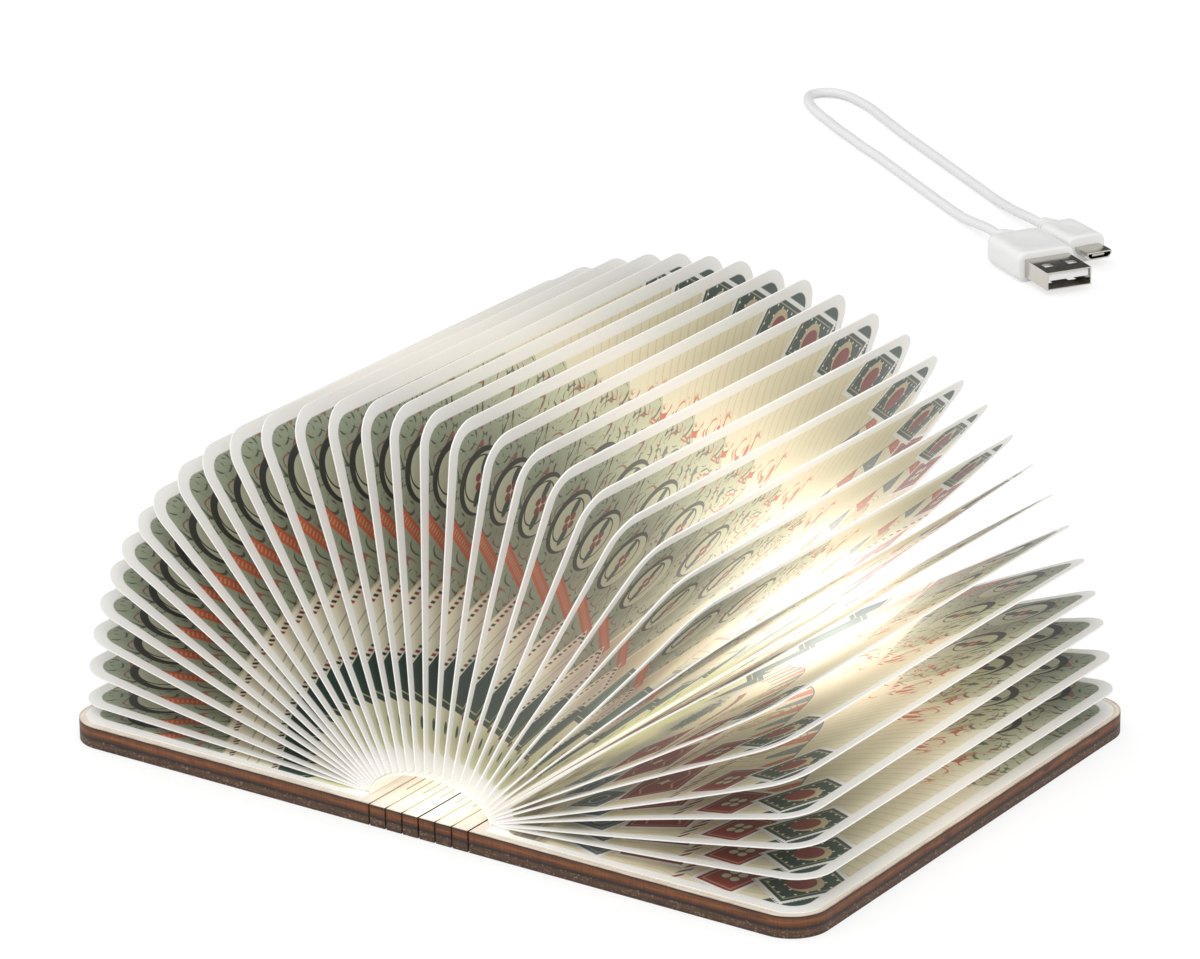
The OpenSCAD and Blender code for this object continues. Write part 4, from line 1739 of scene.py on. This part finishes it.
    def grip(self, plug: Plug, at: Point) -> bpy.types.Object:
        """Makes a moulded grip with its ribbed neck.

        Args:
            plug: its sizes.
            at: where the cord enters it.

        Returns:
            The grip.
        """
        rings = [self.ring(*station) for station in self.neck_stations(plug) + self.body_stations(plug)]
        points = [self.dished(point, plug) for ring in rings for point in ring]
        count = len(rings[0])
        last = len(points) - count
        faces = []
        for base in range(0, last, count):
            for j in range(count):
                a, b = base + j, base + (j + 1) % count
                faces.append((a, b, count + b, count + a))
        faces.append(tuple(reversed(range(count))))
        faces.append(tuple(range(last, len(points))))
        piece = new_piece("moulded_" + plug.name, points, faces)
        piece.matrix_world = Matrix.Translation(at) @ Matrix.Rotation(math.radians(plug.turn), 4, "Z")
        smooth(piece, self.crease)
        Finish.PLUG.dress(piece)
        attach(piece, "right_cover")
        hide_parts(plug.name)
        return piece


@dataclass
class Studio:
    """Camera, lamps, white sky, pale floor and a dark card.

    Attributes:
        azimuth: side that the camera looks from, in degrees.
        elevation: its angle over the table.
        roll: its tilt.
        eye: where it stands.
        lens: its focal length, in millimetres.
        sensor: its sensor's width, in millimetres.
        sky: strength of the sky on the object.
        aim: where the lamps point.
        lamps: name, place, size and power of each lamp.
        floor_half: half width of the floor.
        floor_drop: how far it lies under the book.
        floor_seen: its shaded colour as it is seen.
        floor_glow: light that whitens it where it is seen.
        floor_plain: its colour as it lights the object.
        flag_colour: colour of the card.
        flag_foot: both ends of the card's foot.
        flag_top: height of its upper edge.
    """

    azimuth: float = 34.739
    elevation: float = 20.764
    roll: float = -0.736
    eye: Point = (0.604905, -0.870968, 0.455943)
    lens: float = 173.76
    sensor: float = 36.0
    sky: float = 0.8
    aim: Point = (0.0, 0.0, 0.03)
    lamps: tuple[tuple[str, Point, float, float], ...] = (
        ("key_softbox", (0.9, -1.3, 1.7), 1.4, 17.0),
        ("left_softbox", (-1.6, -0.3, 1.2), 1.2, 5.0))
    floor_half: float = 6.0
    floor_drop: float = 0.1 * MM
    floor_seen: Colour = (0.42, 0.42, 0.42, 1)
    floor_glow: float = 0.62
    floor_plain: Colour = (0.8, 0.8, 0.79, 1)
    flag_colour: Colour = (0.03, 0.028, 0.024, 1)
    flag_foot: tuple[Point, Point] = ((-0.9, 0.75, 0.1), (0.05, 1.35, 0.1))
    flag_top: float = 0.95

    def camera(self) -> None:
        """Makes the camera at the photograph's viewing angle."""
        data = bpy.data.cameras.new("camera")
        data.lens, data.sensor_width, data.clip_end = self.lens, self.sensor, 30.0
        made = bpy.data.objects.new("camera", data)
        bpy.context.scene.collection.objects.link(made)
        a, e, r = (math.radians(x) for x in (self.azimuth, self.elevation, self.roll))
        back = Vector((math.sin(a) * math.cos(e), -math.cos(a) * math.cos(e), math.sin(e)))
        right = Vector((0, 0, 1)).cross(back).normalized()
        up = back.cross(right)
        rows = (right * math.cos(r) + up * math.sin(r), up * math.cos(r) - right * math.sin(r), back)
        made.matrix_world = Matrix.Translation(self.eye) @ Matrix(rows).transposed().to_4x4()
        bpy.context.scene.camera = made
        log.info("camera")

    def build(self) -> None:
        """Makes the lamps, the sky and the floor."""
        for name, at, size, power in self.lamps:
            data = bpy.data.lights.new(name, "AREA")
            data.size, data.energy = size, power
            lamp = bpy.data.objects.new(name, data)
            lamp.location = at
            lamp.rotation_euler = (Vector(self.aim) - Vector(at)).to_track_quat("-Z", "Y").to_euler()
            bpy.context.scene.collection.objects.link(lamp)
        self.world()
        self.floor()
        self.flag()
        bpy.context.scene.view_settings.view_transform = "Standard"
        log.info("studio")

    def world(self) -> None:
        """White sky: plain light on the object, and pure white where it is seen."""
        world = bpy.data.worlds.new("white_sky")
        world.use_nodes = True
        bpy.context.scene.world = world
        pad = NodePad(world.node_tree)
        back = world.node_tree.nodes["Background"]
        back.inputs["Color"].default_value = (1, 1, 1, 1)
        pad.feed(back.inputs["Strength"], self.seen(pad) * (1.0 - self.sky) + self.sky)

    def seen(self, pad: NodePad) -> Value:
        """Tells what is seen by the camera, straight or by way of gloss or glass.

        Args:
            pad: the nodes.

        Returns:
            1 for such rays and 0 for others.
        """
        path = pad.node("ShaderNodeLightPath")
        camera, glossy, through = (Value(pad, path.outputs[n]) for n in
                                   ("Is Camera Ray", "Is Glossy Ray", "Is Transmission Ray"))
        return camera.most(glossy).most(through)

    def floor(self) -> None:
        """Pale floor that stays white where nothing shades it."""
        f, z = self.floor_half, -self.floor_drop
        piece = new_piece("studio_floor", [(-f, -f, z), (f, -f, z), (f, f, z), (-f, f, z)], [(0, 1, 2, 3)])
        material = bpy.data.materials.new("pale_floor")
        material.use_nodes = True
        pad = NodePad(material.node_tree)
        material.node_tree.nodes.remove(material.node_tree.nodes["Principled BSDF"])
        soft, plain = pad.node("ShaderNodeBsdfDiffuse"), pad.node("ShaderNodeBsdfDiffuse")
        soft.inputs["Color"].default_value = self.floor_seen
        plain.inputs["Color"].default_value = self.floor_plain
        white = pad.node("ShaderNodeEmission")
        white.inputs["Strength"].default_value = self.floor_glow
        both, choice = pad.node("ShaderNodeAddShader"), pad.node("ShaderNodeMixShader")
        pad.feed(both.inputs[0], soft.outputs[0])
        pad.feed(both.inputs[1], white.outputs[0])
        pad.feed(choice.inputs[0], self.seen(pad))
        pad.feed(choice.inputs[1], plain.outputs[0])
        pad.feed(choice.inputs[2], both.outputs[0])
        out = material.node_tree.nodes["Material Output"]
        pad.feed(out.inputs["Surface"], choice.outputs[0])
        piece.data.materials.append(material)

    def flag(self) -> None:
        """Dark card behind the plugs, seen only in their bright metal."""
        a, b = self.flag_foot
        top = self.flag_top
        piece = new_piece("studio_flag", [a, b, (b[0], b[1], top), (a[0], a[1], top)], [(0, 1, 2, 3)])
        material = bpy.data.materials.new("dark_flag")
        material.use_nodes = True
        shader = material.node_tree.nodes["Principled BSDF"]
        shader.inputs["Base Color"].default_value = self.flag_colour
        piece.data.materials.append(material)
        piece.visible_camera = piece.visible_diffuse = piece.visible_shadow = False


def main() -> None:
    """Builds the lamp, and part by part."""
    logging.basicConfig(level=logging.INFO, format="%(name)s: %(message)s")
    studio = Studio()
    studio.camera()
    ChargingLead().build()
    book = Book()
    Covers(book).build()
    LeafFan(book).build()
    RootStrip(book).build()
    LightUnit().build()
    studio.build()


if __name__ == "__main__":
    main()
